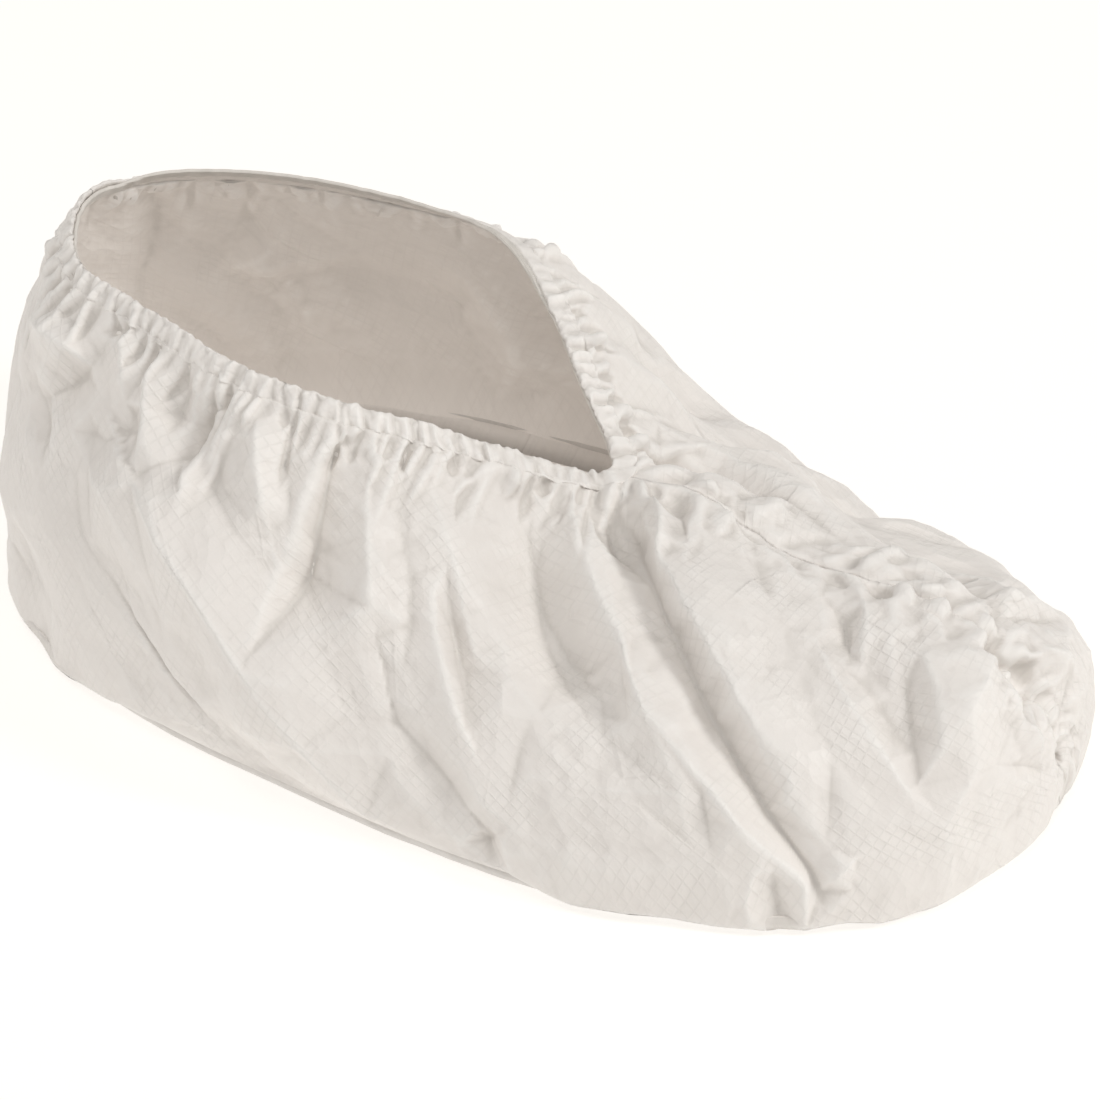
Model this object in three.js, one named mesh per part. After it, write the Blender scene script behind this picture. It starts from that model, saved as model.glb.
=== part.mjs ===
// A disposable vinyl-soled shoe cover, empty, standing on its sole.
// Millimetres. +X runs from the heel to the toe, -Y is the near side, +Z is up.
// The upper is two side panels that meet at the heel and along the instep and toe.
// Each panel is a family of ribs, one rib for each station round the foot. A rib is a
// cubic curve from the edge of the sole up to the ankle hem, or up to the instep seam.
import * as THREE from 'three';

// ---- driving sizes ----
const FABRIC_WALL = 1.2; // wall of the side panels
const SOLE_WALL = 1.5; // floor and border of the sole
const SOLE_HEIGHT = 6; // top of the turned-up border
const GAP = 0.3; // clearance between two pieces
const HEM_GAP = 0.8; // clearance between the hem and the panel, which curve differently
const HEM_HEIGHT = 6; // width of the turned band
const HEM_THICKNESS = 2.2;
const TAPE_HEIGHT = 5; // width of the elastic
const TAPE_THICKNESS = 1.2;
const TAPE_GAP = 0.5; // clearance between the elastic and the hem
const BAND_BEVEL = 0.25; // of a band's thickness
const SOLE_ROUND = [[4, 0], [1.2, 1.4]]; // inset and height of the rounded foot of the border
const SOLE_FILLET = [[1.4, 1.2], [4, 0]]; // inset past the border and height over the floor
const SEAM_Y = 6.5; // the seam plane lies this far to +Y of the middle of the width

// ---- mesh fineness ----
const STEPS_PER_STATION = 4; // the same in every piece, so that their facets lie side by side
const PANEL_ROWS = 11; // steps from the sole up
const FOLD_STEPS = 10; // straight steps along the line of one fold
const NORMAL_STEP = 0.02; // of a station and of the height, on either side, to find a normal
const EDGE_FADE = 8; // a fold has its full depth an eighth of the height from either edge
const FOLD_END = 0.06; // of a fold's length, over which its end keeps the same small depth
const FOLD_TAPER = 0.6; // how bluntly a fold's depth falls off towards its ends

// A row for each station. base is the panel's lower edge, top is the upper edge of the
// hem, or the seam from SEAM_START on, and belly and crown pull the rib outwards near
// its foot and near its top.
const SEAM_START = 9;
const RIB_COLUMNS = [
  'name', 'baseX', 'baseY', 'topX', 'topY', 'topZ', 'bellyOut', 'bellyUp', 'crownOut', 'crownDown',
];
const NEAR_RIBS = [
  ['heel', -187, 0, -168, 0, 124, 6, 40, 16, 22],
  ['heel_a', -183, -34, -163, -17, 122, 6, 40, 18, 22],
  ['heel_b', -166, -66, -146, -36, 120, 6, 40, 24, 22],
  ['ankle_a', -128, -92, -112, -48, 120, 6, 40, 24, 26],
  ['ankle_b', -80, -106, -72, -56, 116, 6, 38, 24, 28],
  ['ankle_c', -25, -112, -40, -54, 112, 6, 38, 26, 26],
  ['ankle_d', 25, -115, -14, -38, 101, 8, 36, 30, 20],
  ['vamp_a', 62, -114, 8, -21, 88, 8, 36, 34, 12],
  ['throat', 86, -111, 24, -8, 79, 8, 36, 40, 6],
  ['vamp_b', 102, -106, 30, 0, 76, 8, 36, 44, 2],
  ['vamp_c', 124, -98, 62, 0, 77, 8, 36, 54, 0],
  ['toe_a', 146, -86, 98, 0, 66, 8, 34, 50, 0],
  ['toe_b', 165, -70, 137, 0, 66, 8, 34, 44, 0],
  ['toe_c', 178, -48, 165, 0, 50, 8, 30, 28, 2],
  ['toe_d', 185, -24, 181, 0, 30, 6, 16, 12, 6],
  ['toe', 187, 0, 187, 0, 12, 1, 3, 1, 3],
];
const FAR_RIBS = [
  ['heel', -187, 0, -168, 0, 124, 6, 40, 16, 22],
  ['heel_a', -183, 34, -163, 17, 122, 6, 40, 18, 22],
  ['heel_b', -166, 64, -146, 36, 120, 6, 40, 20, 24],
  ['ankle_a', -128, 88, -112, 48, 120, 6, 40, 22, 28],
  ['ankle_b', -80, 98, -72, 56, 117, 6, 38, 26, 26],
  ['ankle_c', -25, 102, -40, 54, 114, 6, 38, 38, 18],
  ['ankle_d', 25, 101, -14, 38, 104, 8, 36, 46, 8],
  ['vamp_a', 62, 97, 9, 19, 92, 8, 36, 36, 12],
  ['throat', 86, 93, 24, 8, 81, 8, 36, 34, 8],
  ['vamp_b', 102, 89, 30, 0, 76, 8, 36, 36, 4],
  ['vamp_c', 124, 84, 62, 0, 77, 8, 36, 42, 0],
  ['toe_a', 146, 75, 98, 0, 66, 8, 34, 45, 0],
  ['toe_b', 165, 62, 137, 0, 66, 8, 34, 42, 0],
  ['toe_c', 178, 43, 165, 0, 50, 8, 30, 28, 2],
  ['toe_d', 185, 22, 181, 0, 30, 6, 16, 12, 6],
  ['toe', 187, 0, 187, 0, 12, 1, 3, 1, 3],
];

// A row for each main fold, as a curve on the panel from a, past b, to c. Each point is
// a station and a height, 0 at the sole and 1 at the top. The depth is the push out, or
// in where it is negative, and it fades over heelward and toeward millimetres.
const FOLD_COLUMNS = [
  'name', 'aAt', 'aUp', 'bAt', 'bUp', 'cAt', 'cUp', 'heelward', 'toeward', 'depth',
];
const NEAR_FOLDS = [
  ['heel_ridge', 3.6, 0.66, 4.5, 0.51, 5.5, 0.08, 28, 30, 5],
  ['ankle_valley', 5.2, 0.95, 5.1, 0.68, 4.9, 0.38, 22, 18, -6],
  ['middle_valley', 5.4, 0.95, 5.7, 0.64, 6.0, 0.28, 22, 18, -4],
  ['arch_valley', 6.1, 0.92, 6.4, 0.66, 6.8, 0.26, 22, 18, -5],
  ['arch_ridge', 6.7, 0.9, 7.0, 0.6, 7.6, 0.3, 22, 22, 4],
  ['vamp_valley', 7.3, 0.92, 7.8, 0.64, 9.6, 0.42, 24, 20, -8],
  ['long_valley', 8.7, 0.9, 9.9, 0.54, 11.0, 0.12, 20, 24, -5],
  ['toe_lobe', 10.2, 0.8, 10.4, 0.6, 10.8, 0.4, 30, 28, 5],
  ['toe_valley', 11.4, 0.84, 11.7, 0.65, 11.9, 0.45, 18, 18, -5],
];
const FAR_FOLDS = [
  ['heel_hollow', 2.2, 0.8, 2.6, 0.5, 2.8, 0.2, 28, 28, -5],
  ['ankle_valley', 4.3, 0.9, 4.4, 0.6, 4.2, 0.3, 22, 20, -6],
  ['ankle_lobe', 5.4, 0.9, 5.6, 0.7, 5.8, 0.4, 28, 28, 4],
  ['lobe_valley', 6.6, 0.9, 6.4, 0.6, 6.6, 0.2, 22, 20, -6],
  ['vamp_groove', 9.4, 0.9, 10.0, 0.72, 11.2, 0.7, 18, 18, -6],
  ['side_valley', 8.4, 0.5, 8.8, 0.3, 9.2, 0.1, 24, 20, -5],
  ['toe_groove', 11.6, 0.8, 12.2, 0.72, 13.0, 0.7, 18, 18, -4],
];
const LAST_STATION = NEAR_RIBS.length - 1;
const PANEL_COLUMNS = LAST_STATION * STEPS_PER_STATION;

// ---- curves ----
function namedRow(columns, values) {
  return Object.fromEntries(columns.map((column, i) => [column, values[i]]));
}

function namedRows(columns, table) {
  return table.map((values) => namedRow(columns, values));
}

const NEAR_ROWS = namedRows(RIB_COLUMNS, NEAR_RIBS);
const FAR_ROWS = namedRows(RIB_COLUMNS, FAR_RIBS);

// Value and slope of a Catmull-Rom curve through four numbers, between the middle two.
function catmullRom(a, b, c, d, f) {
  const cubic = -a + 3 * b - 3 * c + d;
  const square = 2 * a - 5 * b + 4 * c - d;
  const value = 0.5 * (2 * b + (c - a) * f + square * f * f + cubic * f ** 3);
  const slope = 0.5 * (c - a + 2 * square * f + 3 * cubic * f * f);
  return { value, slope };
}

// One column of the rib table between the rows first and last. Past either end the curve
// goes on as the mirror image, or straight where an end isn't mirrored.
function columnAt(rows, column, at, first, last, mirrorFirst, mirrorLast) {
  const sign = column.endsWith('Y') ? -1 : 1;
  const clamped = Math.min(Math.max(at, first), last - 1e-9);
  const k = Math.floor(clamped);
  const value = (i) => {
    if (i < first) {
      return mirrorFirst ? sign * rows[first + 1][column] : 2 * rows[first][column] - rows[first + 1][column];
    }
    if (i > last) {
      return mirrorLast ? sign * rows[last - 1][column] : 2 * rows[last][column] - rows[last - 1][column];
    }
    return rows[i][column];
  };
  return catmullRom(value(k - 1), value(k), value(k + 1), value(k + 2), clamped - k);
}

function ribNumber(rows, column, at) {
  return columnAt(rows, column, at, 0, LAST_STATION, true, true).value;
}

// A level unit vector square to the direction (dx, dy), pointing away from the middle.
function levelNormal(dx, dy, side) {
  return new THREE.Vector3(dy, -dx, 0).multiplyScalar(-side).normalize();
}

// The lower edge of the panel and its outward direction.
function baseEdge(rows, side, at) {
  const x = columnAt(rows, 'baseX', at, 0, LAST_STATION, true, true);
  const y = columnAt(rows, 'baseY', at, 0, LAST_STATION, true, true);
  return {
    point: new THREE.Vector3(x.value, y.value, SOLE_HEIGHT + GAP),
    outward: levelNormal(x.slope, y.slope, side),
  };
}

// The upper edge of the hem, the direction in which the hem runs down the wall, and the
// direction out of the wall there.
function rimEdge(rows, side, at) {
  const [x, y, z] = ['topX', 'topY', 'topZ'].map(
    (column) => columnAt(rows, column, at, 0, SEAM_START, true, true),
  );
  const outward = levelNormal(x.slope, y.slope, side);
  const out = ribNumber(rows, 'crownOut', at);
  const down = ribNumber(rows, 'crownDown', at);
  const along = outward.clone().multiplyScalar(out).add(new THREE.Vector3(0, 0, -down)).normalize();
  const normal = outward.clone().multiplyScalar(down).add(new THREE.Vector3(0, 0, out)).normalize();
  return { point: new THREE.Vector3(x.value, y.value, z.value), along, normal };
}

// The upper edge of the panel: below the hem, and along the seam from SEAM_START on.
function panelTop(rows, side, at) {
  const underHem = (station) => {
    const rim = rimEdge(rows, side, station);
    return rim.point.addScaledVector(rim.along, HEM_HEIGHT + HEM_GAP);
  };
  if (at <= SEAM_START) {
    return underHem(at);
  }
  const start = underHem(SEAM_START);
  const seamRows = rows.map((row, i) => (
    i === SEAM_START ? { ...row, topX: start.x, topY: 0, topZ: start.z } : row
  ));
  const [x, y, z] = ['topX', 'topY', 'topZ'].map(
    (column) => columnAt(seamRows, column, at, SEAM_START, LAST_STATION, false, true).value,
  );
  return new THREE.Vector3(x, y, z);
}

// A point of the smooth panel, before its folds.
function smoothPanel(rows, side, at, up) {
  const base = baseEdge(rows, side, at);
  const top = panelTop(rows, side, at);
  const number = (column) => ribNumber(rows, column, at);
  const belly = base.point.clone().addScaledVector(base.outward, number('bellyOut'));
  belly.z += number('bellyUp');
  const crown = top.clone().addScaledVector(base.outward, number('crownOut'));
  crown.z -= number('crownDown');
  return new THREE.CubicBezierCurve3(base.point, belly, crown, top).getPoint(up);
}

// ---- folds ----
// The line of one fold on the smooth panel, as points in space.
function foldLine(rows, side, fold) {
  const flat = new THREE.QuadraticBezierCurve(
    new THREE.Vector2(fold.aAt, fold.aUp),
    new THREE.Vector2(2 * fold.bAt - (fold.aAt + fold.cAt) / 2, 2 * fold.bUp - (fold.aUp + fold.cUp) / 2),
    new THREE.Vector2(fold.cAt, fold.cUp),
  );
  return flat.getPoints(FOLD_STEPS).map((p) => ({ at: p.x, point: smoothPanel(rows, side, p.x, p.y) }));
}

// How far a fold pushes a point at the given station out of the smooth panel.
function foldPush(fold, line, point, at, normal) {
  let best = { distance: Infinity };
  for (let i = 0; i < line.length - 1; i += 1) {
    const segment = new THREE.Line3(line[i].point, line[i + 1].point);
    const f = segment.closestPointToPointParameter(point, true);
    const offset = point.clone().sub(segment.at(f, new THREE.Vector3()));
    offset.addScaledVector(normal, -offset.dot(normal));
    if (offset.length() < best.distance) {
      const lineAt = THREE.MathUtils.lerp(line[i].at, line[i + 1].at, f);
      best = { distance: offset.length(), along: (i + f) / (line.length - 1), toeward: at > lineAt };
    }
  }
  const reach = best.toeward ? fold.toeward : fold.heelward;
  const across = Math.max(0, 1 - best.distance / reach);
  const along = THREE.MathUtils.clamp(best.along, FOLD_END, 1 - FOLD_END);
  return fold.depth * THREE.MathUtils.smoothstep(across, 0, 1) * Math.sin(Math.PI * along) ** FOLD_TAPER;
}

// ---- closed meshes ----
// A closed wall between two grids of points with the same rows and columns.
function wallGeometry(outer, inner) {
  const columns = outer.length;
  const rows = outer[0].length;
  const points = [...outer.flat(), ...inner.flat()];
  const indices = [];
  const outerIndex = (i, j) => i * rows + j;
  const innerIndex = (i, j) => columns * rows + i * rows + j;
  const quad = (a, b, c, d) => indices.push(a, b, c, a, c, d);
  for (let i = 0; i < columns - 1; i += 1) {
    for (let j = 0; j < rows - 1; j += 1) {
      quad(outerIndex(i, j), outerIndex(i + 1, j), outerIndex(i + 1, j + 1), outerIndex(i, j + 1));
      quad(innerIndex(i, j), innerIndex(i, j + 1), innerIndex(i + 1, j + 1), innerIndex(i + 1, j));
    }
    quad(outerIndex(i, 0), innerIndex(i, 0), innerIndex(i + 1, 0), outerIndex(i + 1, 0));
    const top = rows - 1;
    quad(outerIndex(i, top), outerIndex(i + 1, top), innerIndex(i + 1, top), innerIndex(i, top));
  }
  for (let j = 0; j < rows - 1; j += 1) {
    const end = columns - 1;
    quad(outerIndex(0, j), outerIndex(0, j + 1), innerIndex(0, j + 1), innerIndex(0, j));
    quad(outerIndex(end, j), innerIndex(end, j), innerIndex(end, j + 1), outerIndex(end, j + 1));
  }
  return meshGeometry(points, indices);
}

// A closed ring swept through sections that all have the same number of points.
function ringGeometry(sections) {
  const sides = sections[0].length;
  const indices = [];
  sections.forEach((_, i) => {
    const next = (i + 1) % sections.length;
    for (let j = 0; j < sides; j += 1) {
      const k = (j + 1) % sides;
      const corners = [i * sides + j, next * sides + j, next * sides + k, i * sides + k];
      indices.push(corners[0], corners[1], corners[2], corners[0], corners[2], corners[3]);
    }
  });
  return meshGeometry(sections.flat(), indices);
}

function meshGeometry(points, indices) {
  const geometry = new THREE.BufferGeometry().setFromPoints(points);
  geometry.setIndex(indices);
  if (signedVolume(points, indices) < 0) {
    geometry.setIndex(indices.map((_, i) => indices[i - (i % 3) + (2 - (i % 3))]));
  }
  geometry.computeVertexNormals();
  return geometry;
}

function signedVolume(points, indices) {
  let volume = 0;
  for (let i = 0; i < indices.length; i += 3) {
    const [a, b, c] = [points[indices[i]], points[indices[i + 1]], points[indices[i + 2]]];
    volume += a.dot(new THREE.Vector3().crossVectors(b, c)) / 6;
  }
  return volume;
}

// ---- sub-parts ----
// The unit normal of the smooth panel, pointing out of the cover.
function panelNormal(rows, side, at, up) {
  const [before, after] = [Math.max(at - NORMAL_STEP, 0), Math.min(at + NORMAL_STEP, LAST_STATION)];
  const [below, above] = [Math.max(up - NORMAL_STEP, 0), Math.min(up + NORMAL_STEP, 1)];
  const along = smoothPanel(rows, side, after, up).sub(smoothPanel(rows, side, before, up));
  const rising = smoothPanel(rows, side, at, above).sub(smoothPanel(rows, side, at, below));
  return along.cross(rising).multiplyScalar(-side).normalize();
}

// Keeps a point on its own side of the plane where the two panels meet.
function keepToSide(point, side) {
  if (point.y * side < GAP / 2) {
    point.y = side * (GAP / 2);
  }
  return point;
}

function sidePanel(rows, folds, side) {
  const lines = folds.map((fold) => foldLine(rows, side, fold));
  const outer = [];
  const inner = [];
  for (let i = 0; i <= PANEL_COLUMNS; i += 1) {
    const at = i / STEPS_PER_STATION;
    outer.push([]);
    inner.push([]);
    for (let j = 0; j <= PANEL_ROWS; j += 1) {
      const up = j / PANEL_ROWS;
      const normal = panelNormal(rows, side, at, up);
      const point = smoothPanel(rows, side, at, up);
      const edgeFade = Math.min(1, EDGE_FADE * up, EDGE_FADE * (1 - up));
      const push = folds.reduce((sum, fold, k) => sum + foldPush(fold, lines[k], point, at, normal), 0);
      const skin = point.clone().addScaledVector(normal, push * edgeFade);
      outer[i].push(keepToSide(skin.clone(), side));
      inner[i].push(keepToSide(skin.addScaledVector(normal, -FABRIC_WALL), side));
    }
  }
  return wallGeometry(outer, inner);
}

// The stations round the ankle opening, down the near side and back along the far side.
function openingLoop() {
  const half = SEAM_START * STEPS_PER_STATION;
  return Array.from({ length: 2 * half }, (_, i) => {
    const near = i < half;
    const at = (near ? i : 2 * half - i) / STEPS_PER_STATION;
    return rimEdge(near ? NEAR_ROWS : FAR_ROWS, near ? -1 : 1, at);
  });
}

// A band round the opening: its top edge lies drop below the rim, and its middle lies
// inset inside the middle of the wall.
function openingBand(height, thickness, drop, inset) {
  const bevel = BAND_BEVEL * thickness;
  const corners = [
    [0, thickness / 2 - bevel], [bevel, thickness / 2],
    [height - bevel, thickness / 2], [height, thickness / 2 - bevel],
    [height, bevel - thickness / 2], [height - bevel, -thickness / 2],
    [bevel, -thickness / 2], [0, bevel - thickness / 2],
  ];
  return ringGeometry(openingLoop().map(({ point, along, normal }) => corners.map(([down, out]) => (
    point.clone().addScaledVector(along, drop + down).addScaledVector(normal, out - inset)
  ))));
}

function ankleHem() {
  return openingBand(HEM_HEIGHT, HEM_THICKNESS, 0, FABRIC_WALL / 2);
}

function elasticTape() {
  const inset = (FABRIC_WALL + HEM_THICKNESS + TAPE_THICKNESS) / 2 + TAPE_GAP;
  return openingBand(TAPE_HEIGHT, TAPE_THICKNESS, (HEM_HEIGHT - TAPE_HEIGHT) / 2, inset);
}

// A shallow tray: rings of points on the outline, from the middle of the underside out
// and up over the border to the middle of the floor.
function soleTray() {
  const rings = [
    ...SOLE_ROUND.map(([inset, z]) => ({ inset, z })),
    { inset: 0, z: SOLE_HEIGHT },
    { inset: SOLE_WALL, z: SOLE_HEIGHT },
    ...SOLE_FILLET.map(([inset, z]) => ({ inset: SOLE_WALL + inset, z: SOLE_WALL + z })),
  ];
  const sides = [[NEAR_ROWS, -1], [FAR_ROWS, 1]];
  const edge = ([rows, side], i, ring) => {
    const { point, outward } = baseEdge(rows, side, i / STEPS_PER_STATION);
    return point.setZ(ring.z).addScaledVector(outward, -ring.inset);
  };
  const points = [];
  rings.forEach((ring) => {
    for (let i = 0; i <= PANEL_COLUMNS; i += 1) {
      points.push(edge(sides[0], i, ring));
    }
    for (let i = PANEL_COLUMNS - 1; i > 0; i -= 1) {
      points.push(edge(sides[1], i, ring));
    }
  });
  const count = 2 * PANEL_COLUMNS;
  const indices = [];
  for (let r = 0; r < rings.length - 1; r += 1) {
    for (let i = 0; i < count; i += 1) {
      const next = (i + 1) % count;
      const [a, b] = [r * count + i, r * count + next];
      indices.push(a, b, b + count, a, b + count, a + count);
    }
  }
  const cap = (start, flip) => {
    for (let i = 0; i < PANEL_COLUMNS; i += 1) {
      const near = [start + i, start + i + 1];
      const far = [start + ((count - i) % count), start + count - i - 1];
      const triangles = [[near[0], far[0], far[1]], [near[0], far[1], near[1]]];
      const whole = triangles.filter((t) => new Set(t).size === 3);
      whole.forEach((t) => indices.push(...(flip ? t.reverse() : t)));
    }
  };
  cap(0, false);
  cap((rings.length - 1) * count, true);
  return meshGeometry(points, indices);
}

// ---- materials and assembly ----
const LAMINATE = new THREE.MeshStandardMaterial({ color: 0xf4f2ee, roughness: 0.45, metalness: 0 });
const VINYL = new THREE.MeshStandardMaterial({ color: 0xf0eeea, roughness: 0.5, metalness: 0 });
const ELASTIC = new THREE.MeshStandardMaterial({ color: 0xcfc8ba, roughness: 0.8, metalness: 0 });

function piece(name, geometry, material) {
  const mesh = new THREE.Mesh(geometry, material);
  mesh.name = name;
  mesh.position.y = SEAM_Y;
  return mesh;
}

const shoeCover = new THREE.Group();
shoeCover.add(
  piece('side_panel_near', sidePanel(NEAR_ROWS, namedRows(FOLD_COLUMNS, NEAR_FOLDS), -1), LAMINATE),
  piece('side_panel_far', sidePanel(FAR_ROWS, namedRows(FOLD_COLUMNS, FAR_FOLDS), 1), LAMINATE),
  piece('sole', soleTray(), VINYL),
  piece('ankle_hem', ankleHem(), LAMINATE),
  piece('elastic_tape', elasticTape(), ELASTIC),
);

export default shoeCover;
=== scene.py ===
"""The visual model of a disposable vinyl-soled shoe cover, standing empty on its sole.

Tables are in millimetres. +X runs from the heel to the toe, -Y is the near side, +Z is up,
and Y is 0 in the plane where the two side panels are sewn together.
"""

import bpy
import numpy as np
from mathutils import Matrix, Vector
from mathutils.geometry import delaunay_2d_cdt


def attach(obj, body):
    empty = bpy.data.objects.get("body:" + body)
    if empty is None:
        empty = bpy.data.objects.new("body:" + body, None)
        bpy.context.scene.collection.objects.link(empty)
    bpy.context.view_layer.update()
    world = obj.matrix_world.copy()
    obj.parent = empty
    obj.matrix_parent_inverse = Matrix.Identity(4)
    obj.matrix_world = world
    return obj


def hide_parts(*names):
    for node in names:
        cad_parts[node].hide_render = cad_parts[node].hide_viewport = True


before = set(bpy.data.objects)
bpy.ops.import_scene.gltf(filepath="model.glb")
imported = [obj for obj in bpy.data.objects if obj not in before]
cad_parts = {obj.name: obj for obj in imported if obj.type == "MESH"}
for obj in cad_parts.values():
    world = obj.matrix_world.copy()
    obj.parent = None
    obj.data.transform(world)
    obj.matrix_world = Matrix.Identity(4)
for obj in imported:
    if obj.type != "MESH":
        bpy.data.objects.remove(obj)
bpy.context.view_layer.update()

# ---- sizes ----
MM = 0.001
SEAM_Y = 6.5
SOLE_HEIGHT = 6.0
SOLE_WALL = 1.5
SOLE_INSET = 1.2
GAP = 0.3
HEM_HEIGHT = 6.0
HEM_GAP = 0.8
NEAR, FAR = -1, 1

# ---- fineness ----
PANEL_STEPS = (266, 77)  # along and up the simulated cloth, before it is refined
OUTER_STEPS = (528, 153)  # of the finished outer face; the inner face has a third as many
INNER_STEP = 3
CREASE_STEPS = 5  # nodes along a creased fold
LINE_STEPS = 14  # steps along a fold's line when its push is worked out
HEM_POINTS, HEM_SIDES = 1500, 22
TAPE_POINTS = 900
SOLE_POINTS = 360  # along each side

# ---- how the cloth folds ----
CLOTH_WALL = 0.9
FOLD_SCALE = 1.9
FADE_PART = 0.4  # of a fold's length, over which its depth fades towards an end
NARROWED = 0.4  # share of a fold's width that is left where it has no depth
BASE_GROWTH = 0.05  # of the simulated cloth, and more near its upper edge
GROWTH_REACH = 11.0
GROWTH_LEVELS = 20
BUCKLE_FRAMES = 24
LIKENESS = 0.15  # how different two normals may be within one facet
FACET_REACHES = (2, 2, 1, 1, 1, 1)  # grid steps over which normals are turned to agree
SETTLE_STEPS = 16
CREASED = 0.7  # folds at least this sharp keep a crisp edge
CALM = 0.45  # and folds less sharp than this stay soft all over
FACET = 17.0
FACET_SHARE = 0.65
FOOT_ROOM = 5.0  # between the foot of a fold and other corners of facets
TOE_FACET = 9.0
TOE_STATION = 10.6
PATCH_SIZE = 45  # of the patches that are crumpled more, and less
LARGE_CRUMPLE = 0.55
SMALL_CRUMPLE = 0.30
PUCKER_SHARE = 0.8
SAG_DOWN = 7.0  # of the cloth over the wall of the sole
SAG_OUT = 1.4
SOLE_SHOWS = (3.0, 7.8)  # stations on the near side between which the sole shows
ABOVE_FLOOR = 0.4
LOWEST_REACH = 6  # grid steps over which the inner face stays below the outer one
FOOT_IN = 12.0  # reach of the inner face over the sole
SEAM_REACH = 9.0  # of the pull of the seam down the heel and down the toe
SEWN_GAP = 0.06
GRID_PITCH = 3.1  # of the square grid that is pressed into the cloth, on the bias
GRID_TURN = 0.66

# The ribs of the two side panels, one for each station round the foot.
SEAM_START = 9
RIB_COLUMNS = (
    "baseX", "baseY", "topX", "topY", "topZ", "bellyOut", "bellyUp", "crownOut", "crownDown",
)
NEAR_RIBS = (
    (-187, 0, -168, 0, 124, 6, 40, 16, 22),
    (-183, -34, -163, -17, 122, 6, 40, 18, 22),
    (-166, -66, -146, -36, 120, 6, 40, 24, 22),
    (-128, -92, -112, -48, 120, 6, 40, 24, 26),
    (-80, -106, -72, -56, 116, 6, 38, 24, 28),
    (-25, -112, -40, -54, 112, 6, 38, 26, 26),
    (25, -115, -14, -38, 101, 8, 36, 30, 20),
    (62, -114, 8, -21, 88, 8, 36, 34, 12),
    (86, -111, 24, -8, 79, 8, 36, 40, 6),
    (102, -106, 30, 0, 76, 8, 36, 44, 2),
    (124, -98, 62, 0, 77, 8, 36, 54, 0),
    (146, -86, 98, 0, 66, 8, 34, 50, 0),
    (165, -70, 137, 0, 66, 8, 34, 44, 0),
    (178, -48, 165, 0, 50, 8, 30, 28, 2),
    (185, -24, 181, 0, 30, 6, 16, 12, 6),
    (187, 0, 187, 0, 12, 1, 3, 1, 3),
)
FAR_RIBS = (
    (-187, 0, -168, 0, 124, 6, 40, 16, 22),
    (-183, 34, -163, 17, 122, 6, 40, 18, 22),
    (-166, 64, -146, 36, 120, 6, 40, 20, 24),
    (-128, 88, -112, 48, 120, 6, 40, 22, 28),
    (-80, 98, -72, 56, 117, 6, 38, 26, 26),
    (-25, 102, -40, 54, 114, 6, 38, 38, 18),
    (25, 101, -14, 38, 104, 8, 36, 46, 8),
    (62, 97, 9, 19, 92, 8, 36, 36, 12),
    (86, 93, 24, 8, 81, 8, 36, 34, 8),
    (102, 89, 30, 0, 76, 8, 36, 36, 4),
    (124, 84, 62, 0, 77, 8, 36, 42, 0),
    (146, 75, 98, 0, 66, 8, 34, 45, 0),
    (165, 62, 137, 0, 66, 8, 34, 42, 0),
    (178, 43, 165, 0, 50, 8, 30, 28, 2),
    (185, 22, 181, 0, 30, 6, 16, 12, 6),
    (187, 0, 187, 0, 12, 1, 3, 1, 3),
)
LAST_STATION = len(NEAR_RIBS) - 1

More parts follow.
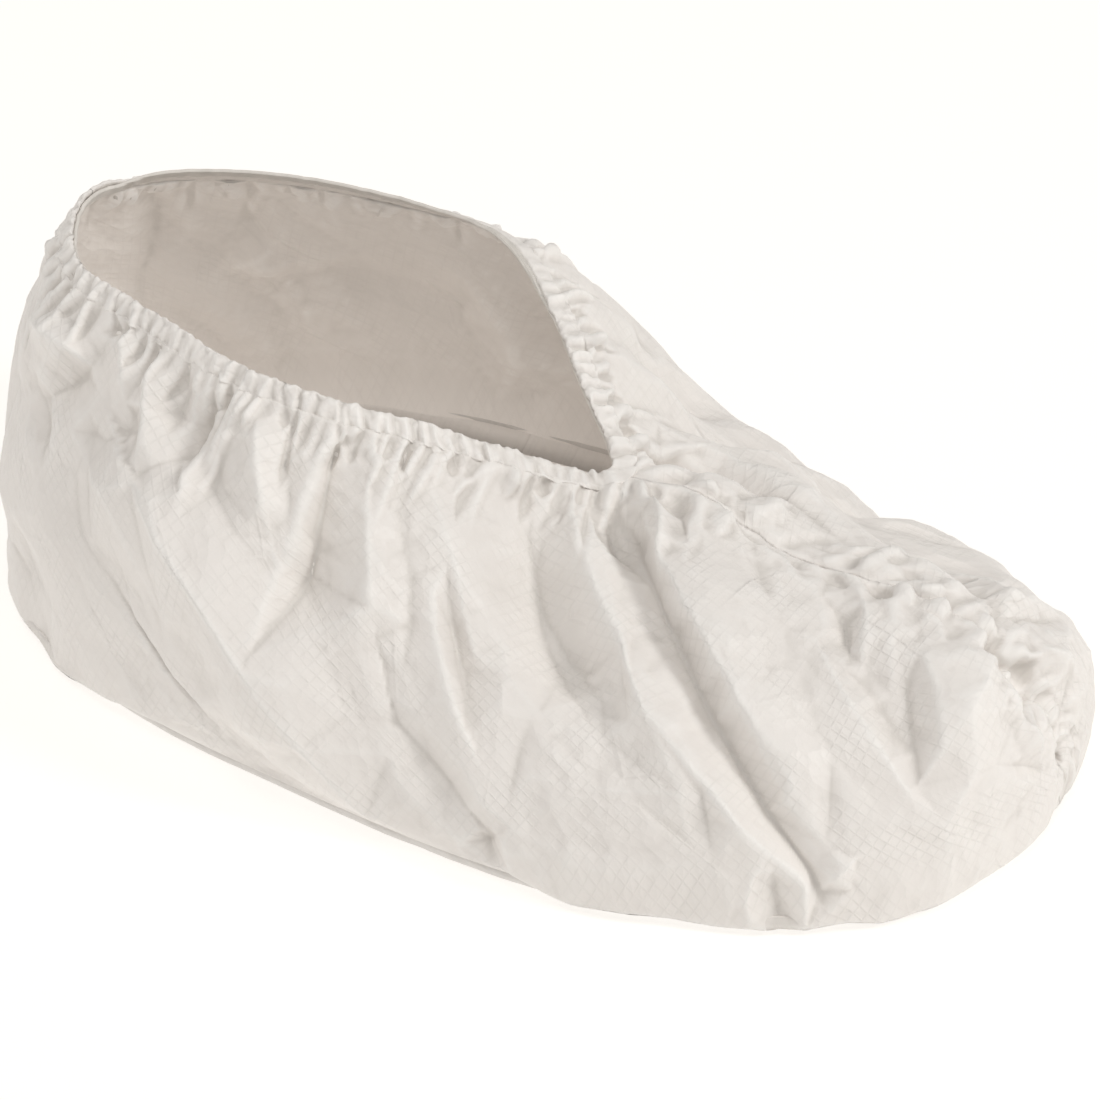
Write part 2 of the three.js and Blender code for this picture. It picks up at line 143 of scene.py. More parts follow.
# The folds. A fold's line runs from a, past b, to c, each given as station and height, from
# its upper end, or from its heel end if it lies level. depth is the push out, or in where it
# is negative, and it fades over heelward and toeward millimetres (on a level fold, toeward
# is its upper side). sharp is 1 for a crease and 0 for a soft swell, and startAs and endAs are
# the parts of the depth that are left at the two ends.
FOLD_COLUMNS = (
    "aAt", "aUp", "bAt", "bUp", "cAt", "cUp", "heelward", "toeward", "depth", "sharp",
    "startAs", "endAs",
)
NEAR_FOLDS = (
    # the long ridge across the ankle side, and the star of creases at its upper end
    (3.70, 0.66, 4.80, 0.42, 5.68, 0.05, 34, 22, 10.0, 1.0, 0.9, 0.3),
    (3.20, 0.50, 4.20, 0.30, 5.00, 0.10, 20, 20, -2.2, 0.1, 0.3, 0.2),
    (2.85, 0.65, 3.30, 0.69, 3.68, 0.67, 12, 9, -2.4, 0.9, 0.1, 0.9),
    (3.70, 0.68, 3.85, 0.75, 4.05, 0.79, 11, 8, -2.6, 0.9, 0.8, 0.1),
    (2.95, 0.98, 3.12, 0.88, 3.35, 0.74, 9, 6, 2.2, 1.0, 0.7, 0.0),
    (3.30, 0.98, 3.42, 0.86, 3.62, 0.70, 8, 6, 2.4, 1.0, 0.7, 0.2),
    (3.62, 0.98, 3.66, 0.88, 3.74, 0.72, 8, 6, -2.4, 1.0, 0.6, 0.1),
    (3.20, 0.82, 3.50, 0.74, 3.70, 0.68, 7, 7, -1.6, 1.0, 0.2, 0.6),
    # creases that drop from the hem
    (4.02, 0.95, 3.94, 0.84, 4.12, 0.72, 8, 7, -4.5, 0.8, 0.5, 0.0),
    (4.12, 0.86, 4.08, 0.76, 4.20, 0.64, 7, 7, 2.6, 1.0, 0.4, 0.0),
    (4.38, 0.98, 4.70, 0.78, 5.00, 0.60, 14, 7, 4.0, 1.0, 0.7, 0.2),
    (5.10, 0.90, 5.08, 0.72, 4.96, 0.52, 7, 5, 2.6, 0.9, 0.5, 0.0),
    (5.18, 0.90, 5.17, 0.66, 4.98, 0.40, 6, 24, -5.5, 1.0, 0.6, 0.1),
    (5.48, 0.94, 5.72, 0.66, 5.90, 0.38, 26, 12, 4.8, 1.0, 0.4, 0.2),
    (5.76, 0.62, 5.85, 0.48, 5.95, 0.34, 5, 6, -2.4, 1.0, 0.2, 0.4),
    (5.95, 0.34, 6.25, 0.25, 6.68, 0.10, 14, 10, -3.4, 0.8, 0.3, 0.3),
    (6.08, 0.90, 6.46, 0.72, 6.72, 0.54, 14, 16, 2.6, 0.9, 0.3, 0.2),
    (6.30, 0.64, 6.45, 0.46, 6.72, 0.29, 10, 5, 2.8, 1.0, 0.2, 0.0),
    (6.44, 0.70, 6.54, 0.54, 6.66, 0.36, 5, 15, -3.8, 1.0, 0.2, 0.1),
    (7.45, 0.45, 7.12, 0.34, 6.95, 0.17, 4, 5, -1.0, 1.0, 0.1, 0.1),
    (6.55, 0.12, 6.62, 0.06, 6.66, 0.01, 9, 9, -3.0, 0.8, 0.1, 0.9),
    # the deep valley below the throat, the ridge past it and the long crease
    (7.34, 0.93, 7.80, 0.66, 8.95, 0.40, 28, 20, -8.0, 0.4, 0.35, 0.0),
    (8.05, 0.84, 9.00, 0.54, 10.82, 0.14, 18, 10, 4.6, 1.0, 0.4, 0.4),
    (8.78, 0.93, 9.75, 0.58, 11.00, 0.12, 12, 6, -5.0, 1.0, 0.4, 0.5),
    (8.43, 0.97, 8.75, 0.84, 9.28, 0.73, 5, 8, -3.4, 1.0, 0.6, 0.1),
    (9.33, 0.96, 9.56, 0.84, 9.32, 0.72, 10, 4, 3.2, 1.0, 0.5, 0.1),
    # the lobe and its edges up to the toe
    (9.35, 0.84, 10.15, 0.56, 11.15, 0.22, 9, 46, 2.8, 0.3, 0.3, 0.2),
    (10.95, 0.74, 11.30, 0.56, 11.72, 0.40, 12, 9, 2.4, 0.95, 0.5, 0.3),
    (12.50, 0.88, 12.20, 0.66, 11.82, 0.42, 28, 16, 4.4, 0.9, 0.5, 0.1),
    (11.62, 0.84, 11.70, 0.62, 11.80, 0.44, 14, 8, -2.4, 0.9, 0.5, 0.2),
    (11.62, 0.90, 11.60, 0.80, 11.55, 0.66, 7, 9, 2.6, 1.0, 0.4, 0.1),
    (11.10, 0.88, 11.25, 0.80, 11.22, 0.70, 7, 7, -1.3, 0.9, 0.3, 0.0),
    (11.42, 0.92, 11.40, 0.82, 11.35, 0.72, 6, 6, 2.2, 0.9, 0.3, 0.0),
    (11.00, 0.48, 11.02, 0.34, 10.96, 0.18, 5, 6, -1.2, 1.0, 0.1, 0.1),
    (9.86, 0.42, 9.78, 0.30, 9.84, 0.18, 6, 7, -1.8, 1.0, 0.2, 0.0),
    (10.40, 0.22, 10.52, 0.10, 10.56, 0.01, 9, 8, -3.0, 0.9, 0.0, 0.9),
    (11.02, 0.14, 11.18, 0.18, 11.35, 0.22, 6, 6, 1.8, 1.0, 0.4, 0.0),
    (9.75, 0.99, 9.80, 0.90, 9.90, 0.76, 5, 6, -2.0, 0.9, 0.6, 0.0),
    (12.40, 0.84, 12.80, 0.90, 13.23, 0.90, 6, 6, -2.6, 1.0, 0.5, 0.5),
    (12.90, 0.92, 12.95, 0.80, 12.80, 0.66, 7, 6, -2.8, 1.0, 0.5, 0.0),
    (12.68, 0.74, 13.08, 0.64, 13.40, 0.60, 6, 7, 2.4, 1.0, 0.3, 0.2),
    (12.55, 0.49, 13.30, 0.52, 14.02, 0.57, 6, 6, -1.8, 1.0, 0.1, 0.3),
    # the heel
    (1.90, 0.80, 2.30, 0.84, 2.75, 0.83, 9, 7, 3.0, 0.9, 0.1, 0.6),
    (2.78, 0.86, 2.66, 0.76, 2.30, 0.62, 8, 10, -3.5, 0.8, 0.4, 0.0),
    (2.26, 0.66, 2.50, 0.60, 2.70, 0.50, 10, 10, -2.2, 0.8, 0.4, 0.0),
    (1.20, 0.52, 2.00, 0.58, 2.90, 0.52, 26, 22, -3.0, 0.2, 0.0, 0.0),
    (1.60, 0.34, 2.10, 0.20, 2.80, 0.08, 16, 12, -2.2, 0.7, 0.0, 0.1),
)
FAR_FOLDS = (
    # soft folds that show inside the ankle
    (1.30, 0.95, 1.55, 0.72, 1.30, 0.48, 12, 10, 2.4, 0.7, 0.6, 0.0),
    (2.95, 0.97, 2.30, 0.70, 1.75, 0.44, 16, 13, 3.0, 0.6, 0.5, 0.0),
    (4.30, 0.95, 4.50, 0.84, 4.60, 0.70, 9, 8, 2.0, 0.6, 0.5, 0.0),
    (5.10, 0.95, 4.95, 0.84, 4.60, 0.74, 9, 8, 2.4, 0.6, 0.5, 0.0),
    (5.60, 0.90, 5.95, 0.70, 5.80, 0.48, 16, 14, -3.4, 0.3, 0.3, 0.0),
    (2.20, 0.46, 3.60, 0.44, 5.60, 0.28, 22, 20, 2.2, 0.1, 0.0, 0.0),
    (6.40, 0.90, 6.55, 0.62, 6.60, 0.25, 18, 16, -4.5, 0.5, 0.4, 0.0),
    # the groove along the instep and the two towards the toe
    (8.30, 0.95, 9.30, 0.76, 10.90, 0.86, 9, 16, -6.0, 0.8, 0.3, 0.2),
    (8.12, 0.92, 8.80, 0.80, 9.90, 0.74, 18, 6, -4.0, 1.0, 0.6, 0.1),
    (8.70, 0.52, 10.40, 0.51, 13.00, 0.50, 42, 44, -6.8, 0.0, 0.0, 0.0),
    (5.60, 0.58, 6.35, 0.55, 7.30, 0.46, 32, 30, -4.2, 0.0, 0.0, 0.0),
    (10.90, 0.72, 11.60, 0.74, 12.40, 0.86, 9, 12, -4.0, 0.8, 0.3, 0.2),
    (12.30, 0.90, 12.42, 0.72, 12.40, 0.50, 9, 8, -2.6, 0.9, 0.3, 0.0),
    (13.00, 0.90, 12.90, 0.76, 13.30, 0.60, 8, 8, 2.2, 0.9, 0.3, 0.0),
    # the side that faces away
    (2.10, 0.70, 2.60, 0.45, 2.80, 0.16, 30, 28, -4.5, 0.4, 0.1, 0.1),
    (4.10, 0.60, 4.40, 0.36, 4.20, 0.10, 24, 18, -5.0, 0.7, 0.0, 0.2),
    (4.70, 0.66, 5.20, 0.40, 6.10, 0.10, 30, 22, 5.0, 0.8, 0.2, 0.1),
    (7.30, 0.88, 7.50, 0.55, 7.20, 0.20, 18, 16, -6.0, 0.8, 0.4, 0.0),
    (8.40, 0.56, 8.85, 0.32, 9.40, 0.08, 22, 16, -5.0, 0.9, 0.0, 0.2),
    (9.60, 0.48, 10.20, 0.32, 11.20, 0.16, 20, 18, 1.6, 0.7, 0.0, 0.1),
    (11.60, 0.62, 11.80, 0.42, 11.50, 0.16, 14, 12, -3.5, 0.9, 0.0, 0.1),
)

RIBS = {
    side: dict(zip(RIB_COLUMNS, np.array(table, float).T))
    for side, table in ((NEAR, NEAR_RIBS), (FAR, FAR_RIBS))
}
FOLDS = {
    side: [dict(zip(FOLD_COLUMNS, row)) for row in table]
    for side, table in ((NEAR, NEAR_FOLDS), (FAR, FAR_FOLDS))
}


# ---- the smooth panel ----
def cubic_between(rows, k, f):
    """Value and slope of a smooth curve through the rows, a part f of the way past row k + 1."""
    a, b, c, d = (rows[k + i] for i in range(4))
    cubic = -a + 3 * b - 3 * c + d
    square = 2 * a - 5 * b + 4 * c - d
    value = 0.5 * (2 * b + (c - a) * f + square * f ** 2 + cubic * f ** 3)
    slope = 0.5 * (c - a + 2 * square * f + 3 * cubic * f ** 2)
    return value, slope


def spline(values, at, first, last, odd=False, mirror_first=True):
    """Value and slope at each station of a smooth curve through rows first to last."""
    sign = -1 if odd else 1
    rows = values[first:last + 1]
    before = sign * rows[1] if mirror_first else 2 * rows[0] - rows[1]
    rows = np.concatenate([[before], rows, [sign * rows[-2]]])
    steps = np.clip(at - first, 0, last - first - 1e-9)
    k = steps.astype(int)
    return cubic_between(rows, k, steps - k)


def rib(side, column, at, last=LAST_STATION, odd=False):
    return spline(RIBS[side][column], at, 0, last, odd)


def unit(vectors):
    return vectors / np.maximum(np.linalg.norm(vectors, axis=-1, keepdims=True), 1e-9)


def stack(x, y, z):
    return np.stack(np.broadcast_arrays(x, y, z), axis=-1).astype(float)


def level_normal(dx, dy, side):
    return unit(stack(-side * dy, side * dx, 0 * dx))


def base_edge(side, at):
    """The lower edge and the level direction out of it."""
    x, dx = rib(side, "baseX", at)
    y, dy = rib(side, "baseY", at, odd=True)
    return stack(x, y, SOLE_HEIGHT + GAP), level_normal(dx, dy, side)


def rim_edge(side, at):
    """The rim, the direction down the wall there and the direction out of it."""
    x, dx = rib(side, "topX", at, SEAM_START)
    y, dy = rib(side, "topY", at, SEAM_START, odd=True)
    z, _ = rib(side, "topZ", at, SEAM_START)
    outward = level_normal(dx, dy, side)
    out = rib(side, "crownOut", at)[0][..., None]
    down = rib(side, "crownDown", at)[0][..., None]
    up = np.array([0.0, 0.0, 1.0])
    return stack(x, y, z), unit(outward * out - up * down), unit(outward * down + up * out)


def under_hem(side, at):
    point, along, _ = rim_edge(side, at)
    return point + along * (HEM_HEIGHT + HEM_GAP)


def panel_top(side, at):
    """The upper edge, below the hem and then along the seam."""
    start = under_hem(side, np.array([float(SEAM_START)]))[0]
    seam = []
    for column, first in (("topX", start[0]), ("topY", 0.0), ("topZ", start[2])):
        values = RIBS[side][column].copy()
        values[SEAM_START] = first
        odd = column == "topY"
        seam.append(spline(values, at, SEAM_START, LAST_STATION, odd, mirror_first=False)[0])
    below = under_hem(side, np.minimum(at, SEAM_START))
    return np.where((at <= SEAM_START)[..., None], below, stack(*seam))


def smooth_panel(side, at, up):
    """Points of the panel before its folds, for arrays of stations and heights."""
    base, outward = base_edge(side, at)
    top = panel_top(side, at)
    belly = base + outward * rib(side, "bellyOut", at)[0][..., None]
    belly[..., 2] += rib(side, "bellyUp", at)[0]
    crown = top + outward * rib(side, "crownOut", at)[0][..., None]
    crown[..., 2] -= rib(side, "crownDown", at)[0]
    t = up[..., None]
    return (
        (1 - t) ** 3 * base + 3 * (1 - t) ** 2 * t * belly + 3 * (1 - t) * t ** 2 * crown
        + t ** 3 * top
    )


def even_stations(side, count):
    """Stations that divide the panel's length evenly, on average over three heights."""
    at = np.linspace(0, LAST_STATION, 1500)
    length = np.zeros_like(at)
    for height in (0.15, 0.5, 0.85):
        points = smooth_panel(side, at, np.full_like(at, height))
        step = np.linalg.norm(np.diff(points, axis=0), axis=1)
        length[1:] += np.cumsum(step + 0.02)
    return np.interp(np.linspace(0, length[-1], count + 1), length, at)


def seam_line(at):
    """The sewn line along the instep and toe, shared by both panels."""
    rng = np.random.default_rng(5)
    line = 0.5 * (panel_top(NEAR, at) + panel_top(FAR, at))
    sag = np.zeros_like(at)
    for pitch, size in ((0.9, 1.3), (0.42, 0.8), (0.2, 0.6), (0.09, 0.3)):
        marks = np.arange(SEAM_START, LAST_STATION + pitch, pitch)
        sag += size * np.interp(at, marks, rng.uniform(-1, 1, len(marks)))
    ends = fade((at - SEAM_START) / 0.8) * fade((LAST_STATION - at) / 0.8)
    line[..., 2] += (sag - 2.4) * ends
    line[..., 1] = 1.5 * np.roll(sag, 7) * ends
    return line


def end_lines(up):
    """The sewn lines down the heel and down the toe, shared by both panels."""
    at = np.repeat([[0.0], [float(LAST_STATION)]], up.shape[1], axis=1)
    return 0.5 * (smooth_panel(NEAR, at, up[:2]) + smooth_panel(FAR, at, up[:2]))


# ---- grids of points ----
def fade(value):
    value = np.clip(value, 0, 1)
    return value * value * (3 - 2 * value)


def grid_normals(points, side):
    along = np.gradient(points, axis=0)
    rising = np.gradient(points, axis=1)
    return unit(-side * np.cross(along, rising))


def flat_lengths(points):
    """Lengths along the cloth from the middle of the panel and up it from its lower edge."""
    along = np.linalg.norm(np.diff(points, axis=0), axis=2)
    rising = np.linalg.norm(np.diff(points, axis=1), axis=2)
    u = np.vstack([np.zeros((1, points.shape[1])), np.cumsum(along, axis=0)])
    v = np.hstack([np.zeros((points.shape[0], 1)), np.cumsum(rising, axis=1)])
    return u - u[points.shape[0] // 2], v


def smoothed(field, passes):
    """The grid after passes of averaging with its four neighbours, edges kept."""
    pad = [(1, 1), (1, 1)] + [(0, 0)] * (field.ndim - 2)
    for _ in range(passes):
        wide = np.pad(field, pad, mode="reflect", reflect_type="odd")
        around = wide[:-2, 1:-1] + wide[2:, 1:-1] + wide[1:-1, :-2] + wide[1:-1, 2:]
        field = 0.5 * field + 0.125 * around
    return field


def shifted(grid, i, j):
    """The grid moved by i rows and j columns, with its edges repeated."""
    rows = np.clip(np.arange(grid.shape[0]) + i, 0, grid.shape[0] - 1)
    columns = np.clip(np.arange(grid.shape[1]) + j, 0, grid.shape[1] - 1)
    return grid[rows][:, columns]


def refined(grid):
    """The grid of the simulated cloth resampled to that of the outer face."""
    for axis, steps in enumerate(OUTER_STEPS):
        grid = np.moveaxis(grid, axis, 0)
        last = len(grid) - 1
        at = np.linspace(0, last, steps + 1)
        ends = (2 * grid[:1] - grid[1:2], grid, 2 * grid[-1:] - grid[-2:-1])
        k = np.minimum(at.astype(int), last - 1)
        f = (at - k).reshape((-1,) + (1,) * (grid.ndim - 1))
        grid = np.moveaxis(cubic_between(np.concatenate(ends), k, f)[0], 0, axis)
    return grid


class Cloth:
    """A grid of stations and heights over one panel, with its smooth form and the lengths
    on its flat cloth."""

    def __init__(self, side, at, up, smooth):
        self.side, self.at, self.up, self.smooth = side, at, up, smooth
        self.normals = grid_normals(smooth, side)
        self.u, self.v = flat_lengths(smooth)
        self.from_top = self.v[:, -1:] - self.v
        self.from_end = np.minimum(self.u - self.u[:1], self.u[-1:] - self.u)
        self.on_seam = at > SEAM_START

    def pushes(self, folds):
        return [fold_push(self.side, fold, self.smooth, self.normals) for fold in folds]

    def top_fade(self, seam_reach, rim_reach, least=0.0):
        """0 at the upper edge, or a little more along the rim, and 1 past a reach."""
        below_rim = fade(self.from_top / rim_reach + least)
        return np.where(self.on_seam, fade(self.from_top / seam_reach), below_rim)


# ---- folds ----
def fold_line(fold, steps):
    """Stations and heights along a fold."""
    t = np.linspace(0, 1, steps + 1)
    weights = ((1 - t) ** 2, 2 * t * (1 - t), t ** 2)
    for kind in ("At", "Up"):
        first, last = fold["a" + kind], fold["c" + kind]
        middle = 2 * fold["b" + kind] - (first + last) / 2
        yield weights[0] * first + weights[1] * middle + weights[2] * last


def fold_strength(fold, along):
    """The part of a fold's depth that it has a part of the way along."""
    start = fold["startAs"] + (1 - fold["startAs"]) * fade(along / FADE_PART)
    end = fold["endAs"] + (1 - fold["endAs"]) * fade((1 - along) / FADE_PART)
    return start * end


def fold_push(side, fold, points, normals):
    """How far one fold pushes each point out of the smooth panel."""
    line = smooth_panel(side, *fold_line(fold, LINE_STEPS))
    reach = max(fold["heelward"], fold["toeward"])
    low, high = line.min(axis=0) - reach, line.max(axis=0) + reach
    close = np.all((points > low) & (points < high), axis=-1)
    push = np.zeros(points.shape[:-1])
    p, n = points[close], normals[close]
    best = np.full(len(p), np.inf)
    along = np.zeros(len(p))
    toeward = np.zeros(len(p), bool)
    for i in range(LINE_STEPS):
        step = line[i + 1] - line[i]
        f = np.clip((p - line[i]) @ step / (step @ step), 0, 1)
        offset = p - line[i] - f[:, None] * step
        offset -= np.sum(offset * n, axis=1, keepdims=True) * n
        distance = np.linalg.norm(offset, axis=1)
        nearer = distance < best
        best[nearer] = distance[nearer]
        along[nearer] = (i + f[nearer]) / LINE_STEPS
        toeward[nearer] = (-side * np.sum(np.cross(step, offset) * n, axis=1) > 0)[nearer]
    strength = fold_strength(fold, along)
    width = np.where(toeward, fold["toeward"], fold["heelward"])
    width = width * (NARROWED + (1 - NARROWED) * strength)
    across = np.clip(1 - best / width, 0, 1)
    profile = fold["sharp"] * across + (1 - fold["sharp"]) * fade(across)
    push[close] = fold["depth"] * strength * profile
    return push


def gather(at, lean, bend, length, width, toeward, depth, sharp, start):
    """A short fold that drops from the upper edge."""
    return dict(zip(FOLD_COLUMNS, (
        at, 1.0, at + lean / 2 + bend, 1 - length / 2, at + lean, 1 - length,
        width, width * toeward, depth, sharp, start, 0.0,
    )))


def rim_gathers(side):
    """Short gathers below the hem."""
    rng = np.random.default_rng(41 + side)
    folds = []
    at = 0.10
    while at < SEAM_START - 0.1:
        length = rng.uniform(0.06, 0.16) * (2.2 if rng.random() < 0.25 else 1.0)
        lean = rng.normal(0, 0.12)
        bend = rng.normal(0, 0.03)
        depth = rng.uniform(1.1, 2.6) * rng.choice([-1, -1, 1])
        width = rng.uniform(1.7, 3.2)
        toeward = rng.uniform(0.6, 1.4)
        folds.append(gather(at, lean, bend, length, width, toeward, depth, 0.9, 0.75))
        at += rng.uniform(0.07, 0.16)
    return folds


def seam_gathers(rng):
    """Puckers along the seam of the instep and toe."""
    folds = []
    at = SEAM_START + 0.15
    while at < LAST_STATION - 0.3:
        length = rng.uniform(0.07, 0.24)
        lean = rng.normal(0, 0.14)
        depth = rng.uniform(1.4, 3.2) * rng.choice([-1, 1])
        width = rng.uniform(3.0, 6.0)
        toeward = rng.uniform(0.7, 1.3)
        folds.append(gather(at, lean, 0.0, length, width, toeward, depth, 0.8, 0.8))
        at += rng.uniform(0.18, 0.42)
    return folds


def triangulated(u, v, nodes, edges=()):
    """The triangles that join scattered nodes: their corners, and for each grid point the
    three corners it lies between and its weights on them."""
    found = delaunay_2d_cdt([Vector(p) for p in nodes], list(edges), [], 0, 1e-6)
    corners = np.array([tuple(p) for p in found[0]])
    pu, pv = u.ravel(), v.ravel()
    ids = np.zeros((len(pu), 3), int)
    weights = np.zeros((len(pu), 3))
    for face in found[2]:
        (au, av), (bu, bv), (cu, cv) = corners[list(face)]
        area = (bu - au) * (cv - av) - (bv - av) * (cu - au)
        near = np.flatnonzero(
            (pu >= min(au, bu, cu)) & (pu <= max(au, bu, cu))
            & (pv >= min(av, bv, cv)) & (pv <= max(av, bv, cv))
        )
        if len(near) == 0 or abs(area) < 1e-6:
            continue
        du, dv = pu[near] - au, pv[near] - av
        b = (du * (cv - av) - dv * (cu - au)) / area
        c = ((bu - au) * dv - (bv - av) * du) / area
        hit = (b >= -1e-6) & (c >= -1e-6) & (b + c <= 1 + 1e-6)
        ids[near[hit]] = face
        weights[near[hit]] = np.stack([1 - b - c, b, c], axis=1)[hit]
    return corners, ids.reshape(u.shape + (3,)), weights.reshape(u.shape + (3,))


def scattered(u, v, spacing, rng):
    """Nodes of a loose grid that covers the flat cloth."""
    xs = np.arange(u.min() - spacing, u.max() + 2 * spacing, spacing)
    ys = np.arange(v.min() - spacing, v.max() + 2 * spacing, spacing)
    nodes = np.array([(x, y) for x in xs for y in ys])
    return nodes + rng.uniform(-0.42, 0.42, nodes.shape) * spacing


def facet_field(u, v, spacing, rng):
    """A crumpled field of flat facets with random heights between -1 and 1."""
    corners, ids, weights = triangulated(u, v, scattered(u, v, spacing, rng))
    return np.sum(rng.uniform(-1, 1, len(corners))[ids] * weights, axis=-1)


def soft_field(u, v, size, rng):
    """A smooth random field between about -1 and 1, with swells of the given size."""
    waves = 9
    total = np.zeros_like(u)
    for _ in range(waves):
        angle, phase = rng.uniform(0, 2 * np.pi, 2)
        pitch = 2 * np.pi / (size * rng.uniform(1.4, 2.8))
        total += np.cos(pitch * (u * np.cos(angle) + v * np.sin(angle)) + phase)
    return total / np.sqrt(waves)


def knobs(length, total, pitch, rng):
    """Random bumps round a loop, about a pitch apart."""
    count = int(total / pitch)
    centres = (np.arange(count) + rng.uniform(-0.3, 0.3, count)) * total / count
    sizes = rng.uniform(-1, 1, count)
    widths = rng.uniform(0.3, 0.6, count) * pitch
    away = np.abs(length[:, None] - centres)
    away = np.minimum(away, total - away)
    return np.sum(sizes * np.exp(-(away / widths) ** 2), axis=1)


def crease_nodes(cloth):
    """Nodes along the creased folds and along both feet of each, and the edges that run
    along the folds."""
    ridges, feet, edges = [], [], []
    for fold in FOLDS[cloth.side]:
        if fold["sharp"] < CREASED:
            continue
        stations, heights = fold_line(fold, CREASE_STEPS)
        strength = fold_strength(fold, np.linspace(0, 1, CREASE_STEPS + 1))
        columns, last_row = np.arange(len(cloth.at)), cloth.at.shape[1] - 1
        i = np.interp(stations, cloth.at[:, 0], columns).round().astype(int)
        j = np.clip(np.round(heights * last_row), 0, last_row).astype(int)
        line = np.stack([cloth.u[i, j], cloth.v[i, j]], axis=1)
        ahead = unit(np.gradient(line, axis=0))
        toeward = np.stack([-ahead[:, 1], ahead[:, 0]], axis=1)
        wide = (NARROWED + (1 - NARROWED) * strength)[:, None]
        feet += list((line + toeward * fold["toeward"] * wide)[1:-1])
        feet += list((line - toeward * fold["heelward"] * wide)[1:-1])
        edges += [(len(ridges) + k, len(ridges) + k + 1) for k in range(CREASE_STEPS)]
        ridges += list(line)
    return ridges, feet, edges


def faceted(cloth, points, rng):
    """The cloth with flat facets in place of its soft curves, creased along the folds."""
    u, v = cloth.u, cloth.v
    ridges, feet, edges = crease_nodes(cloth)
    nodes = [np.array(p) for p in ridges]
    spare = [(p, FOOT_ROOM) for p in feet]
    spare += [(p, 0.55 * FACET) for p in scattered(u, v, FACET, rng)]
    toe = u[np.searchsorted(cloth.at[:, 0], TOE_STATION), 0]
    spare += [
        (p, 0.6 * TOE_FACET) for p in scattered(u, v, TOE_FACET, rng)
        if p[0] > toe and p[1] > 0.4 * v.max()
    ]
    for node, room in spare:
        if np.min(np.linalg.norm(np.array(nodes) - node, axis=1)) > room:
            nodes.append(np.array(node))
    corners, ids, weights = triangulated(u, v, nodes, edges)
    flat_u, flat_v = u.ravel(), v.ravel()
    held = np.array([np.argmin((flat_u - x) ** 2 + (flat_v - y) ** 2) for x, y in corners])
    corner_points = points.reshape(-1, 3)[held]
    flat = np.sum(corner_points[ids] * weights[..., None], axis=-2)
    return np.where(weights.sum(axis=-1, keepdims=True) > 0.5, flat, points)


# ---- meshes ----
def mesh_object(name, points, faces, uvs=None, materials=(), kinds=None):
    mesh = bpy.data.meshes.new(name)
    placed = (points + np.array([0.0, SEAM_Y, 0.0])) * MM
    mesh.from_pydata(placed.tolist(), [], faces)
    for material in materials:
        mesh.materials.append(material)
    mesh.shade_smooth()
    if kinds is not None:
        mesh.polygons.foreach_set("material_index", np.asarray(kinds, np.int32))
    if uvs is not None:
        layer = mesh.uv_layers.new(name="cloth")
        loops = np.empty(len(mesh.loops), np.int32)
        mesh.loops.foreach_get("vertex_index", loops)
        layer.data.foreach_set("uv", uvs[loops].astype(np.float32).ravel())
    mesh.update()
    piece = bpy.data.objects.new(name, mesh)
    bpy.context.scene.collection.objects.link(piece)
    return piece


def set_shade_relief(piece, values):
    """Stores how far each point stands out of its surroundings, for the materials to paint shade
    into the hollows and a highlight onto the ridges.
    """
    layer = piece.data.attributes.new("shade_relief", "FLOAT", "POINT")
    layer.data.foreach_set("value", values.astype(np.float32))


def quads(ids, flip=False):
    """Faces between neighbours in a grid of point numbers."""
    faces = np.stack([ids[:-1, :-1], ids[1:, :-1], ids[1:, 1:], ids[:-1, 1:]], axis=-1)
    return faces.reshape(-1, 4)[:, ::-1 if flip else 1].tolist()


def numbered(shape, start=0, wrap=(0, 0)):
    """Point numbers in a grid, which go on to the first again on the axes that wrap."""
    ids = start + np.arange(shape[0] * shape[1]).reshape(shape[:2])
    return np.pad(ids, ((0, wrap[0]), (0, wrap[1])), mode="wrap")


def wall_faces(outer, inner, flip):
    """Faces of a closed wall: the outer grid, the coarser inner grid and the four edges."""
    outer_ids = numbered(outer.shape)
    inner_ids = numbered(inner.shape, outer_ids.size)
    edges = []
    for line, inner_line, turned in (
        (outer_ids[:, 0], inner_ids[:, 0], False), (outer_ids[:, -1], inner_ids[:, -1], True),
        (outer_ids[0], inner_ids[0], True), (outer_ids[-1], inner_ids[-1], False),
    ):
        for k in range(len(inner_line) - 1):
            first = line[k * INNER_STEP:(k + 1) * INNER_STEP + 1]
            strip = first[::-1].tolist() + inner_line[k:k + 2].tolist()
            edges.append(strip[::-1] if turned != flip else strip)
    return quads(outer_ids, flip), quads(inner_ids, not flip), edges


